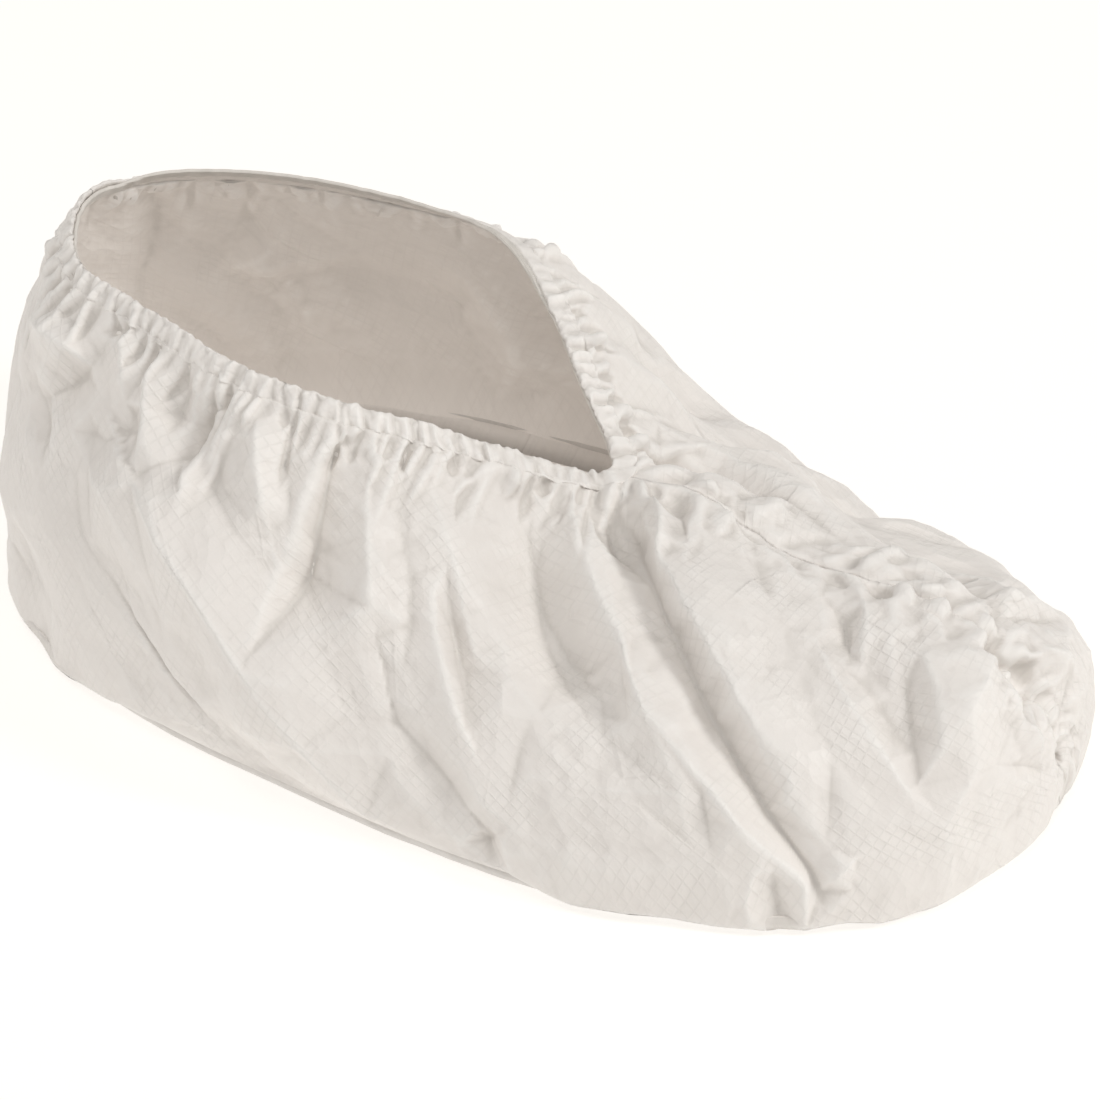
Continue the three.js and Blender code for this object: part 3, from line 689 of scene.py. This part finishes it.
# ---- the cloth of one panel ----
def buckled(points, growth):
    """The cloth after it has grown a little in its own plane with its edges held, so that
    it buckles as gathered cloth does. growth is 1 where it grows most."""
    faces = quads(numbered(points.shape))
    piece = mesh_object("buckling", points.reshape(-1, 3), faces)
    held = np.zeros(points.shape[:2], bool)
    held[[0, -1]] = True
    held[:, [0, -1]] = True
    piece.vertex_groups.new(name="held").add(np.flatnonzero(held).tolist(), 1.0, "REPLACE")
    grown = piece.vertex_groups.new(name="grown")
    levels = np.round(np.clip(growth.ravel(), 0, 1) * GROWTH_LEVELS).astype(int)
    for level in range(1, GROWTH_LEVELS + 1):
        grown.add(np.flatnonzero(levels == level).tolist(), level / GROWTH_LEVELS, "REPLACE")
    modifier = piece.modifiers.new("cloth", "CLOTH")
    modifier.collision_settings.use_collision = False
    modifier.point_cache.frame_end = BUCKLE_FRAMES
    for key, value in {
        "quality": 6, "mass": 0.05, "tension_stiffness": 20, "compression_stiffness": 20,
        "shear_stiffness": 10, "bending_stiffness": 0.08, "bending_damping": 0.5,
        "air_damping": 2, "vertex_group_mass": "held", "pin_stiffness": 50,
        "vertex_group_shrink": "grown", "shrink_min": -0.01, "shrink_max": -0.18,
    }.items():
        setattr(modifier.settings, key, value)
    modifier.settings.effector_weights.gravity = 0
    scene = bpy.context.scene
    scene.frame_start, scene.frame_end = 1, BUCKLE_FRAMES
    for number in range(1, BUCKLE_FRAMES + 1):
        scene.frame_set(number)
    shown = piece.evaluated_get(bpy.context.evaluated_depsgraph_get()).to_mesh()
    moved = np.empty(len(shown.vertices) * 3, np.float32)
    shown.vertices.foreach_get("co", moved)
    bpy.data.objects.remove(piece)
    scene.frame_set(1)
    return moved.reshape(points.shape) / MM - np.array([0.0, SEAM_Y, 0.0])


def stiffened(points):
    """The cloth bent as stiff film is: flat facets that meet in sharp creases. Faces whose
    normals are alike are turned to agree, and the points follow them. Edges are held."""
    across = points[1:, 1:] - points[:-1, :-1]
    back = points[:-1, 1:] - points[1:, :-1]
    normals = unit(np.cross(across, back))
    beside = [(i, j) for i in (-1, 0, 1) for j in (-1, 0, 1) if i or j]
    for reach in FACET_REACHES:
        total = normals.copy()
        for i, j in beside:
            other = shifted(normals, i * reach, j * reach)
            apart = np.sum((normals - other) ** 2, axis=-1, keepdims=True)
            total += other * np.exp(-apart / (2 * LIKENESS ** 2))
        normals = unit(total)
    points = points.copy()
    for _ in range(SETTLE_STEPS):
        centres = 0.25 * (points[1:, 1:] + points[:-1, :-1] + points[1:, :-1] + points[:-1, 1:])
        inner = points[1:-1, 1:-1]
        moves = np.zeros_like(inner)
        for i in (0, 1):
            for j in (0, 1):
                rows = slice(i, centres.shape[0] - 1 + i)
                columns = slice(j, centres.shape[1] - 1 + j)
                n = normals[rows, columns]
                off = centres[rows, columns] - inner
                moves += 0.25 * n * np.sum(n * off, axis=-1, keepdims=True)
        points[1:-1, 1:-1] = inner + moves
    return points


def sewn_ends(face, lines, from_end):
    """Draws the heel end and the toe end of a face onto two lines."""
    half = len(face) // 2
    for end, part in ((0, slice(None, half)), (-1, slice(half, None))):
        pull = fade(1 - from_end[part] / SEAM_REACH)[..., None]
        face[part] += pull * (lines[end] - face[end])


def start_form(cloth, gathers):
    """The panel with its folds and half of its gathers, for the simulation to start from,
    and how much the cloth grows in it."""
    push = np.zeros_like(cloth.at)
    for fold in cloth.pushes(FOLDS[cloth.side]):
        push += FOLD_SCALE * fold
    push *= fade(cloth.v / 10) * cloth.top_fade(12, 10)
    push += 0.5 * sum(cloth.pushes(gathers)) * fade(cloth.v / 12) * fade(cloth.from_top / 5)
    start = cloth.smooth + push[..., None] * cloth.normals
    drop = np.where(cloth.on_seam[:, -1:], seam_line(cloth.at[:, -1]) - start[:, -1], 0.0)
    start += drop[:, None] * (np.clip(1 - cloth.from_top / 9, 0, 1) ** 1.5)[..., None]
    far_seam = cloth.on_seam & (cloth.side == FAR)
    growth = np.exp(-cloth.from_top / GROWTH_REACH) * np.where(far_seam, 0.5, 1.0)
    growth += BASE_GROWTH * (1 if cloth.side == NEAR else fade((8.5 - cloth.at) / 1.5))
    return start, growth


def creased(cloth, points, rng):
    """The cloth with a share of flat facets, except at its soft folds and its edges."""
    points = stiffened(points)
    flat = faceted(cloth, points, rng)
    soft = [fold for fold in FOLDS[cloth.side] if fold["sharp"] < CALM]
    calm = sum(push / fold["depth"] for push, fold in zip(cloth.pushes(soft), soft))
    share = FACET_SHARE * (1 - 0.85 * np.clip(calm, 0, 1)) * fade(cloth.v / 6)
    share = share * fade((cloth.from_top - 3) / 14) * fade((cloth.from_end - 1) / 10)
    return points + share[..., None] * (flat - points)


def crumpled(cloth, points, gathers, rng):
    """The cloth with its gathers crisp again and with small crumples, which are deeper near
    the toe and the seam."""
    u, v = cloth.u, cloth.v
    puckers = sum(cloth.pushes(gathers))
    puckers *= fade(v / 12) * cloth.top_fade(4, 6, 0.5)
    patch = np.clip(0.5 + 0.7 * soft_field(u, v, PATCH_SIZE, rng), 0.15, 1.3)
    toe = fade((cloth.at - 10.4) / 1.5) * fade((cloth.up - 0.45) / 0.3)
    toe += 0.7 * cloth.on_seam * fade((22 - cloth.from_top) / 10)
    crumple = LARGE_CRUMPLE * facet_field(u, v, 9, rng) * (patch + 2.0 * toe)
    small = SMALL_CRUMPLE * facet_field(u, v, 4.5, rng)
    crumple += small * (np.clip(patch, 0.2, 1) + 1.3 * toe)
    crumple *= fade(v / 8) * cloth.top_fade(3, 8)
    crumple = (crumple + PUCKER_SHARE * puckers) * fade(cloth.from_end / 7)
    crumple = 0.7 * crumple + 0.3 * smoothed(crumple, 1)
    points = points + crumple[..., None] * grid_normals(smoothed(points, 4), cloth.side)
    return smoothed(points, 1) + 0.5 * (points - smoothed(points, 3))


def sagged(cloth, points, rng):
    """The cloth with its ends sewn, hanging over the wall of the sole except where the sole
    shows."""
    at, v = cloth.at, cloth.v
    sewn_ends(points, end_lines(cloth.up), cloth.from_end)
    shows = fade((at - SOLE_SHOWS[0]) / 1.3) * fade((SOLE_SHOWS[1] - at) / 1.3)
    shows = shows if cloth.side == NEAR else 0.0
    swell = 0.2 * soft_field(cloth.u, 0 * v, 30, rng) * fade(cloth.from_end / 20)
    sag = (1 - 0.9 * shows) * (1 + swell)
    outward = base_edge(cloth.side, at[:, 0])[1][:, None]
    points += SAG_OUT * (sag * fade(v / 3) * fade((20 - v) / 10))[..., None] * outward
    points[..., 2] -= SAG_DOWN * sag * fade(v / 3.5) * fade((17 - v) / 13)
    points[..., 2] = np.maximum(points[..., 2], ABOVE_FLOOR)
    return points


def inner_face(cloth, outer):
    """The smoother inner face, whose foot is turned in over the sole, and how far the outer face
    stands out of its surroundings, which the materials turn into painted shade in hollows and a
    painted highlight on ridges."""
    v = cloth.v
    soft = smoothed(outer, 10)
    normals = grid_normals(soft, cloth.side)
    near, close, wide = (
        np.sum((outer - level) * normals, axis=-1)
        for level in (soft, smoothed(outer, 2), smoothed(outer, 90))
    )
    lowest = near
    for _ in range(LOWEST_REACH):
        around = ((0, 0), (1, 0), (-1, 0), (0, 1), (0, -1))
        lowest = np.min([shifted(lowest, i, j) for i, j in around], axis=0)
    inner = soft + (smoothed(lowest, 4) - CLOTH_WALL)[..., None] * normals
    base, outward = base_edge(cloth.side, cloth.at[:, 0])
    foot = base - FOOT_IN * outward
    foot[:, 2] = SOLE_WALL - 0.2
    turned = np.clip(1 - v / 16, 0, 1)[..., None] ** 2
    inner = inner * (1 - turned) + foot[:, None] * turned
    sunk = 1 - fade((v - 1) / 6)
    inner[..., 2] += sunk * (SOLE_WALL - 0.35 + 0.1 * v - inner[..., 2])
    flush = inner[[0, -1]]
    flush[..., 1] = cloth.side * SEWN_GAP / 2
    sewn_ends(inner, flush, cloth.from_end)
    # the relief at three scales, for painted shade in the hollows and a painted highlight on the
    # ridges
    return inner, near + 1.5 * close + 0.12 * np.clip(wide, -4, 4)


def panel_skin(side, seed):
    """The outer and inner faces of one side panel with every fold in them, the lengths on its flat
    cloth, and how far each point stands out of its surroundings, which the materials turn into
    painted shade and a painted highlight."""
    rng = np.random.default_rng(seed)
    stations = even_stations(side, PANEL_STEPS[0])
    at, up = np.meshgrid(stations, np.linspace(0, 1, PANEL_STEPS[1] + 1), indexing="ij")
    smooth = smooth_panel(side, at, up)
    gathers = rim_gathers(side) + seam_gathers(rng)
    start, growth = start_form(Cloth(side, at, up, smooth), gathers)
    shaped = buckled(start, growth)

    at = np.clip(refined(at), 0, LAST_STATION)
    up = np.clip(refined(up), 0, 1)
    cloth = Cloth(side, at, up, refined(smooth))
    outer = creased(cloth, refined(shaped), rng)
    outer = crumpled(cloth, outer, gathers, rng)
    outer = sagged(cloth, outer, rng)
    inner, shade_relief = inner_face(cloth, outer)
    keep = SEWN_GAP / 2 + np.where(cloth.from_top < 16, side * outer[:, -1:, 1], 0.0)
    for face in (outer, inner):
        face[:, :-1, 1] = side * np.maximum(face[:, :-1, 1] * side, keep[:, :-1])
    return outer, inner, np.stack([cloth.u, cloth.v], axis=-1), shade_relief


def side_panel(name, side, seed, materials):
    outer, inner, uv, shade_relief = panel_skin(side, seed)
    coarse = (slice(None, None, INNER_STEP),) * 2
    inner, inner_uv = inner[coarse], uv[coarse]
    points = np.vstack([outer.reshape(-1, 3), inner.reshape(-1, 3)])
    uvs = np.vstack([uv.reshape(-1, 2), inner_uv.reshape(-1, 2)])
    face, back, edges = wall_faces(outer, inner, side == FAR)
    kinds = [0] * len(face) + [1] * len(back) + [0] * len(edges)
    piece = mesh_object(name, points, face + back + edges, uvs, materials, kinds)
    # painted shade and highlight on the inside: the outer relief turned over, and none near the
    # foot
    inner_shade_relief = -shade_relief[coarse] * fade((inner_uv[..., 1] - 6) / 8)
    set_shade_relief(piece, np.concatenate([shade_relief.ravel(), inner_shade_relief.ravel()]))
    return piece


# ---- the ankle opening ----
def rim_lengths(side):
    at = np.linspace(0, SEAM_START, 900)
    point = rim_edge(side, at)[0]
    steps = np.linalg.norm(np.diff(point, axis=0), axis=1)
    return at, np.concatenate([[0], np.cumsum(steps)])


def even_rim(side, count):
    at, length = rim_lengths(side)
    return np.interp(np.linspace(0, length[-1], count + 1), length, at)


def loop_lengths(points):
    """The length round a closed loop to each point, and the last step back to the first."""
    step = np.linalg.norm(np.roll(points, -1, axis=0) - points, axis=1)
    return np.concatenate([[0], np.cumsum(step)[:-1]]), step[-1]


class Opening:
    """Points round the ankle opening: the directions down the wall and out of it there, the
    length round to each, the stations, and how tightly the rim is drawn over the tape."""

    def __init__(self, count):
        near = even_rim(NEAR, count // 2)[:-1]
        far = even_rim(FAR, count // 2)[:0:-1]
        parts = rim_edge(NEAR, near), rim_edge(FAR, far)
        self.point, self.down, self.out = (np.vstack(pair)[:, None] for pair in zip(*parts))
        self.length = loop_lengths(self.point[:, 0])[0]
        self.stations = np.concatenate([near, far])
        back = fade((far - 0.6) / 0.8) * fade((6.5 - far) / 1.6)
        self.tight = np.concatenate([np.zeros(count // 2), back])[:, None]

    def band(self, name, drop, push, uv_drop, material):
        """A closed band, from how far its points lie down the wall and out of it."""
        points = self.point + self.down * drop[..., None] + self.out * push[..., None]
        around = np.broadcast_to(self.length[:, None], drop.shape)
        uvs = np.stack([around, uv_drop], axis=-1).reshape(-1, 2)
        faces = quads(numbered(drop.shape, wrap=(1, 1)))
        return mesh_object(name, points.reshape(-1, 3), faces, uvs, [material])


def gather_marks():
    """Place round the opening, depth and width of each gather, for the hem to follow, and
    the length all round."""
    rims = {side: rim_lengths(side) for side in (NEAR, FAR)}
    total = rims[NEAR][1][-1] + rims[FAR][1][-1]
    marks = []
    for side, rim in rims.items():
        for fold in rim_gathers(side):
            place = np.interp(fold["aAt"], *rim)
            place = place if side == NEAR else total - place
            marks.append((place, fold["depth"], fold["heelward"]))
    return marks, total


def ankle_hem(material):
    """The puckered band that is turned over the elastic."""
    rng = np.random.default_rng(31)
    rim = Opening(HEM_POINTS)
    length, tight = rim.length[:, None], rim.tight
    marks, total = gather_marks()
    angle = np.linspace(0, 2 * np.pi, HEM_SIDES, endpoint=False)
    half_height = (HEM_HEIGHT + 1.6) / 2
    down = half_height * (1 - np.sign(np.cos(angle)) * np.abs(np.cos(angle)) ** 0.6)
    share = down / (2 * half_height)
    half_wall = 1.05 - 0.45 * share
    out = half_wall * np.sign(np.sin(angle)) * np.abs(np.sin(angle)) ** 0.7
    slant = rng.normal(0, 1.3, len(marks))
    ripple = np.zeros((HEM_POINTS, HEM_SIDES))
    for (place, depth, width), lean in zip(marks, slant):
        away = length - place - lean * (1 - share)
        away = np.abs((away + total / 2) % total - total / 2)
        ripple += (0.3 + 0.3 * share) * depth * np.clip(1 - away / (0.85 * width), 0, 1)
    around = np.broadcast_to(length, ripple.shape)
    down = np.broadcast_to(down, ripple.shape)
    closing = fade(around / 4) * fade((total - around) / 4)
    crumple = 0.85 * facet_field(around, down, 1.8, rng) * closing
    bumps = lambda pitch: knobs(rim.length, total, pitch, rng)[:, None]
    small = 0.25 * bumps(2.2) * np.sin(np.pi * share)
    crest = 0.45 * bumps(3.4) + 0.45 * bumps(1.9)
    ragged = 0.5 * bumps(4.5) + 0.4 * bumps(2.6)
    free = (1 - 0.8 * tight) * (1 - 0.6 * fade((1.4 - rim.stations) / 1.2))[:, None]
    drop = down - free * crest * (1 - share) ** 2 + ragged * share ** 2
    drop = drop + 1.8 * tight * (1 - share)
    outside = 0.35 + 0.65 * (out > 0)
    relief = free * (ripple + small + crumple)
    push = out + free * outside * (ripple + small + crumple) - 0.5
    piece = rim.band("hem_band", drop, push, down, material)
    reach = 12
    wide = np.pad(relief, ((reach, reach), (0, 0)), mode="wrap")
    local = np.mean([wide[k:k + HEM_POINTS] for k in range(2 * reach + 1)], axis=0)
    # the hem's relief, which its material turns into painted shade in hollows and a painted
    # highlight on crests
    set_shade_relief(piece, (0.8 * (relief - local)).ravel())
    return piece


def elastic_tape(material):
    """The ribbed tape inside the rim, which shows above the hem on the back of the far side."""
    rng = np.random.default_rng(57)
    rim = Opening(TAPE_POINTS)
    total = rim.length[-1] + rim.length[1]
    corners = np.array([
        (0.0, 0.35), (0.3, 0.6), (4.7, 0.6), (5.0, 0.3), (5.0, -0.3), (4.7, -0.6),
        (4.3, -0.72), (3.9, -0.55), (3.5, -0.72), (3.1, -0.55), (2.7, -0.72), (2.3, -0.55),
        (1.9, -0.72), (1.5, -0.55), (1.1, -0.72), (0.7, -0.55), (0.3, -0.72), (0.0, -0.35),
    ])
    ripple = 0.16 * knobs(rim.length, total, 3.4, rng)[:, None]
    drop = corners[:, 0][None, :] + 0.5 - 1.5 * rim.tight
    push = corners[:, 1][None, :] + ripple - 2.3 + 1.6 * rim.tight
    return rim.band("elastic_band", drop, push, drop, material)


# ---- the sole ----
def sole_sheet(materials):
    """The vinyl sole with its low ruffled border turned up. Its rings run from under the
    middle, round the border, to the middle inside."""
    rng = np.random.default_rng(73)
    near = even_stations(NEAR, SOLE_POINTS)[:-1]
    far = even_stations(FAR, SOLE_POINTS)[:0:-1]
    edges = base_edge(NEAR, near), base_edge(FAR, far)
    point, outward = (np.vstack(pair) for pair in zip(*edges))
    length, closing_step = loop_lengths(point)
    total = length[-1] + closing_step
    ruffle = 0.5 * knobs(length, total, 16, rng) + 0.25 * knobs(length, total, 6, rng)
    rings = []
    for inset, z, share in (
        (40, 0.0, 0.0), (22, 0.0, 0.0), (10, 0.0, 0.0), (4, 0.0, 0.0), (2.2, 0.35, 0.2),
        (1.0, 1.3, 0.5), (0.2, 3.0, 1.0), (-0.1, 4.6, 1.0), (-0.1, SOLE_HEIGHT, 0.7),
        (0.7, SOLE_HEIGHT + 0.25, 0.6), (SOLE_WALL, SOLE_HEIGHT - 0.1, 0.5),
        (SOLE_WALL + 0.2, 3.6, 0.4), (SOLE_WALL + 1.4, 2.2, 0.2), (SOLE_WALL + 4, SOLE_WALL, 0.0),
        (22, SOLE_WALL, 0.0), (40, SOLE_WALL, 0.0),
    ):
        if inset >= 22:
            ring = point * (1 - inset / 130)
        else:
            ring = point - outward * (SOLE_INSET + inset - share * ruffle[:, None])
        ring[:, 2] = z
        rings.append(ring)
    low = rings[0].mean(axis=0) * (1, 1, 0)
    points = np.vstack(rings + [low, low + (0, 0, SOLE_WALL)])
    ids = numbered((len(rings), len(point)), wrap=(0, 1))
    faces = quads(ids.T)
    borders = ids[[0, -1]].T.tolist()
    for here, beside in zip(borders[:-1], borders[1:]):
        faces.append([len(points) - 2, beside[0], here[0]])
        faces.append([len(points) - 1, here[1], beside[1]])
    uvs = points[:, :2] + points[:, 2:3]
    piece = mesh_object("sole_sheet", points, faces, uvs, materials)
    polygons = piece.data.polygons
    centres, normals = np.empty((2, len(polygons) * 3), np.float32)
    polygons.foreach_get("center", centres)
    polygons.foreach_get("normal", normals)
    inside = (normals[2::3] > 0.3) & (centres[2::3] < 0.5 * SOLE_HEIGHT * MM)
    polygons.foreach_set("material_index", inside.astype(np.int32))
    return piece


# ---- materials ----
class Shader:
    """A principled material and short ways to add nodes to it."""

    def __init__(self, name):
        self.material = bpy.data.materials.new(name)
        self.material.use_nodes = True
        self.nodes = self.material.node_tree.nodes
        self.surface = self.nodes["Principled BSDF"]

    def fill(self, node, inputs):
        for key, value in inputs.items():
            if isinstance(value, bpy.types.NodeSocket):
                self.material.node_tree.links.new(value, node.inputs[key])
            else:
                node.inputs[key].default_value = value

    def node(self, kind, inputs, **settings):
        node = self.nodes.new("ShaderNode" + kind)
        for key, value in settings.items():
            setattr(node, key, value)
        self.fill(node, inputs)
        return node.outputs

    def math(self, operation, first, second):
        return self.node("Math", {0: first, 1: second}, operation=operation)[0]

    def blend(self, factor, first, second):
        return self.node("Mix", {0: factor, 6: first, 7: second}, data_type="RGBA")[2]

    def span(self, value, low, high, to_low=0.0, to_high=1.0):
        return self.node("MapRange", {0: value, 1: low, 2: high, 3: to_low, 4: to_high})[0]

    def cloth_map(self, turn=0.0, scale=1.0):
        uv = self.node("UVMap", {}, uv_map="cloth")[0]
        return self.node("Mapping", {0: uv, 2: (0, 0, turn), 3: (scale, scale, scale)})[0]

    def noise(self, vector, scale, detail=3.0, roughness=0.5):
        return self.node("TexNoise", {
            "Vector": vector, "Scale": scale, "Detail": detail, "Roughness": roughness,
        })[0]

    def cells(self, vector, scale, **settings):
        return self.node("TexVoronoi", {"Vector": vector, "Scale": scale}, **settings)[0]

    def wave(self, vector, pitch, direction):
        """Parallel ribs a pitch of millimetres apart."""
        return self.node("TexWave", {
            "Vector": vector, "Scale": 0.314159 / pitch, "Distortion": 0.4, "Detail": 1.0,
            "Detail Scale": 0.3,
        }, wave_type="BANDS", bands_direction=direction)[1]

    def bump(self, height, distance, strength=1.0, normal=None):
        inputs = {"Height": height, "Distance": distance * MM, "Strength": strength}
        if normal is not None:
            inputs["Normal"] = normal
        return self.node("Bump", inputs)[0]


def laminate(name, shade, light, grid_depth, roughness):
    """Film-faced cloth: a fine square grid pressed in on the bias, under a crinkled film."""
    shader = Shader(name)
    cloth = shader.cloth_map()
    turned = shader.cloth_map(turn=GRID_TURN)
    shade_relief = shader.node("Attribute", {}, attribute_name="shade_relief")["Fac"]
    mottle = shader.span(shader.noise(cloth, 0.03, 4.0), 0.3, 0.7)
    colour = shader.blend(mottle, shade, light)
    # painted shade in the hollows and a painted highlight on the ridges, from the stored relief
    for end, most, painted_tone in ((-0.6, 0.35, (0.5, 0.47, 0.43, 1)), (0.6, 0.5, (0.95, 0.94, 0.92, 1))):
        colour = shader.blend(shader.span(shade_relief, 0.0, end, 0.0, most), colour, painted_tone)
    ribs = [shader.wave(turned, GRID_PITCH, direction) for direction in "XY"]
    grid = shader.math("POWER", shader.math("MAXIMUM", *ribs), 12.0)
    patch = shader.span(shader.noise(cloth, 0.06), 0.38, 0.62, 0.1, 1.0)
    grid = shader.math("MULTIPLY", grid, patch)
    colour = shader.blend(shader.math("MULTIPLY", grid, 0.055), colour, (0.35, 0.33, 0.31, 1))

    normal = None
    for scale, depth in ((0.11, 0.65), (0.27, 0.24)):
        cells = shader.cells(cloth, scale)
        normal = shader.bump(shader.math("MULTIPLY", cells, cells), depth, normal=normal)
    shake = shader.node("TexNoise", {"Vector": cloth, "Scale": 0.05})[1]
    cracks = shader.cloth_map(scale=0.04)
    bent = shader.node("Mix", {0: 0.94, 4: shake, 5: cracks}, data_type="VECTOR")[1]
    edge = shader.cells(bent, 1.0, feature="DISTANCE_TO_EDGE")
    shown = shader.span(shader.noise(cloth, 0.03, 1.0), 0.45, 0.6)
    line = shader.math("MULTIPLY", shader.span(edge, 0.0, 0.03, 1.0, 0.0), shown)
    normal = shader.bump(line, 0.18, normal=normal)
    normal = shader.bump(shader.noise(cloth, 0.9, 3.0, 0.6), 0.10, 0.6, normal)
    normal = shader.bump(grid, grid_depth, normal=normal)
    low, high = roughness - 0.06, roughness + 0.06
    rough = shader.span(shader.noise(cloth, 0.12), 0.3, 0.7, low, high)
    shader.fill(shader.surface, {
        "Base Color": colour, "Roughness": rough, "Normal": normal, "Specular IOR Level": 0.3,
    })
    return shader


def plain_cloth(name, shade, light, rib_pitch, rib_depth, roughness):
    """Mottled sheet with fine parallel ribs."""
    shader = Shader(name)
    cloth = shader.cloth_map()
    tone = shader.span(shader.noise(cloth, 0.2, 4.0), 0.3, 0.7)
    normal = shader.bump(shader.noise(cloth, 1.1, 3.0, 0.6), 0.08, 0.7)
    normal = shader.bump(shader.wave(cloth, rib_pitch, "Y"), rib_depth, normal=normal)
    shader.fill(shader.surface, {
        "Base Color": shader.blend(tone, shade, light), "Roughness": roughness, "Normal": normal,
    })
    return shader


def make_materials():
    # the inner side and the insole take a greyer, warmer copy of the face's white: partly the
    # inner layer's own tone, partly painted shade for the inside of the cover
    back = (0.78, 0.745, 0.712, 1), (0.82, 0.785, 0.752, 1), 0.05, 0.62
    white = laminate("laminate_face", (0.85, 0.817, 0.788, 1), (0.91, 0.88, 0.85, 1), 0.10, 0.44)
    lining = laminate("laminate_back", *back)
    insole = laminate("vinyl_back", *back)
    hem = laminate("laminate_hem", (0.87, 0.84, 0.81, 1), (0.93, 0.90, 0.872, 1), 0.04, 0.42)
    weave = (0.60, 0.575, 0.535, 1), (0.72, 0.69, 0.65, 1), 0.8, 0.25, 0.75
    elastic = plain_cloth("elastic_weave", *weave)
    sheet = (0.68, 0.655, 0.63, 1), (0.76, 0.735, 0.71, 1), 1.6, 0.05, 0.32
    vinyl = plain_cloth("vinyl_sheet", *sheet)
    # painted light: the lining, the insole and the tape glow faintly and evenly, in place of the
    # light that comes through a thin white wall
    for shader in (lining, insole, elastic):
        shader.fill(shader.surface, {
            "Emission Color": (1.0, 0.93, 0.86, 1), "Emission Strength": 0.10,
        })
    return [shader.material for shader in (white, lining, hem, elastic, vinyl, insole)]


# ---- camera and light ----
def placed(name, data, location, target):
    """A camera or a light at a place, turned towards a target."""
    thing = bpy.data.objects.new(name, data)
    thing.location = location
    away = Vector(target) - thing.location
    thing.rotation_euler = away.to_track_quat("-Z", "Y").to_euler()
    bpy.context.scene.collection.objects.link(thing)
    return thing


def make_camera():
    data = bpy.data.cameras.new("camera")
    data.lens = 95.4
    data.sensor_width = 36.0
    azimuth, elevation, distance = np.radians(29.0), np.radians(36.0), 1.020
    target = np.array([-0.0164, 0.0503, 0.0])
    level = np.cos(elevation)
    back = np.array([np.sin(azimuth) * level, -np.cos(azimuth) * level, np.sin(elevation)])
    bpy.context.scene.camera = placed("camera", data, target + distance * back, target)


def make_studio():
    scene = bpy.context.scene
    scene.view_settings.view_transform = "Standard"
    scene.world = bpy.data.worlds.new("studio")
    scene.world.use_nodes = True
    background = scene.world.node_tree.nodes["Background"]
    background.inputs[0].default_value = (1.0, 0.965, 0.925, 1)
    background.inputs[1].default_value = 0.35
    for name, location, size, power, colour in (
        ("key", (1.65, 0.30, 1.45), 0.5, 16.0, (1.0, 0.985, 0.96)),
        ("top", (0.2, -0.6, 2.05), 1.0, 11.5, (1.0, 0.985, 0.96)),
        ("fill", (-1.6, -0.9, 1.0), 1.0, 3.5, (1.0, 0.98, 0.955)),
    ):
        data = bpy.data.lights.new(name, "AREA")
        data.shape, data.size, data.energy, data.color = "SQUARE", size, power, colour
        placed(name, data, location, (0.0, 0.0, 0.05))
    shader = Shader("floor")
    shader.fill(shader.surface, {
        "Base Color": (0.35, 0.345, 0.335, 1), "Roughness": 0.9,
        "Emission Color": (1.0, 0.97, 0.93, 1), "Emission Strength": 0.78,
    })
    mesh = bpy.data.meshes.new("floor")
    mesh.from_pydata([(-8, -8, 0), (8, -8, 0), (8, 8, 0), (-8, 8, 0)], [], [(0, 1, 2, 3)])
    mesh.materials.append(shader.material)
    floor = bpy.data.objects.new("floor", mesh)
    scene.collection.objects.link(floor)


def main():
    white, lining, hem, elastic, vinyl, insole = make_materials()
    make_camera()
    make_studio()
    near = side_panel("panel_near_skin", NEAR, 11, [white, lining])
    far = side_panel("panel_far_skin", FAR, 23, [white, lining])
    band = ankle_hem(hem)
    tape = elastic_tape(elastic)
    sole = sole_sheet([vinyl, insole])
    for piece, node, slot in (
        (near, "side_panel_near", "laminate"), (far, "side_panel_far", "laminate"),
        (band, "ankle_hem", "laminate"), (tape, "elastic_tape", "elastic"),
        (sole, "sole", "vinyl"),
    ):
        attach(piece, "root")
        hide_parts(node)


main()
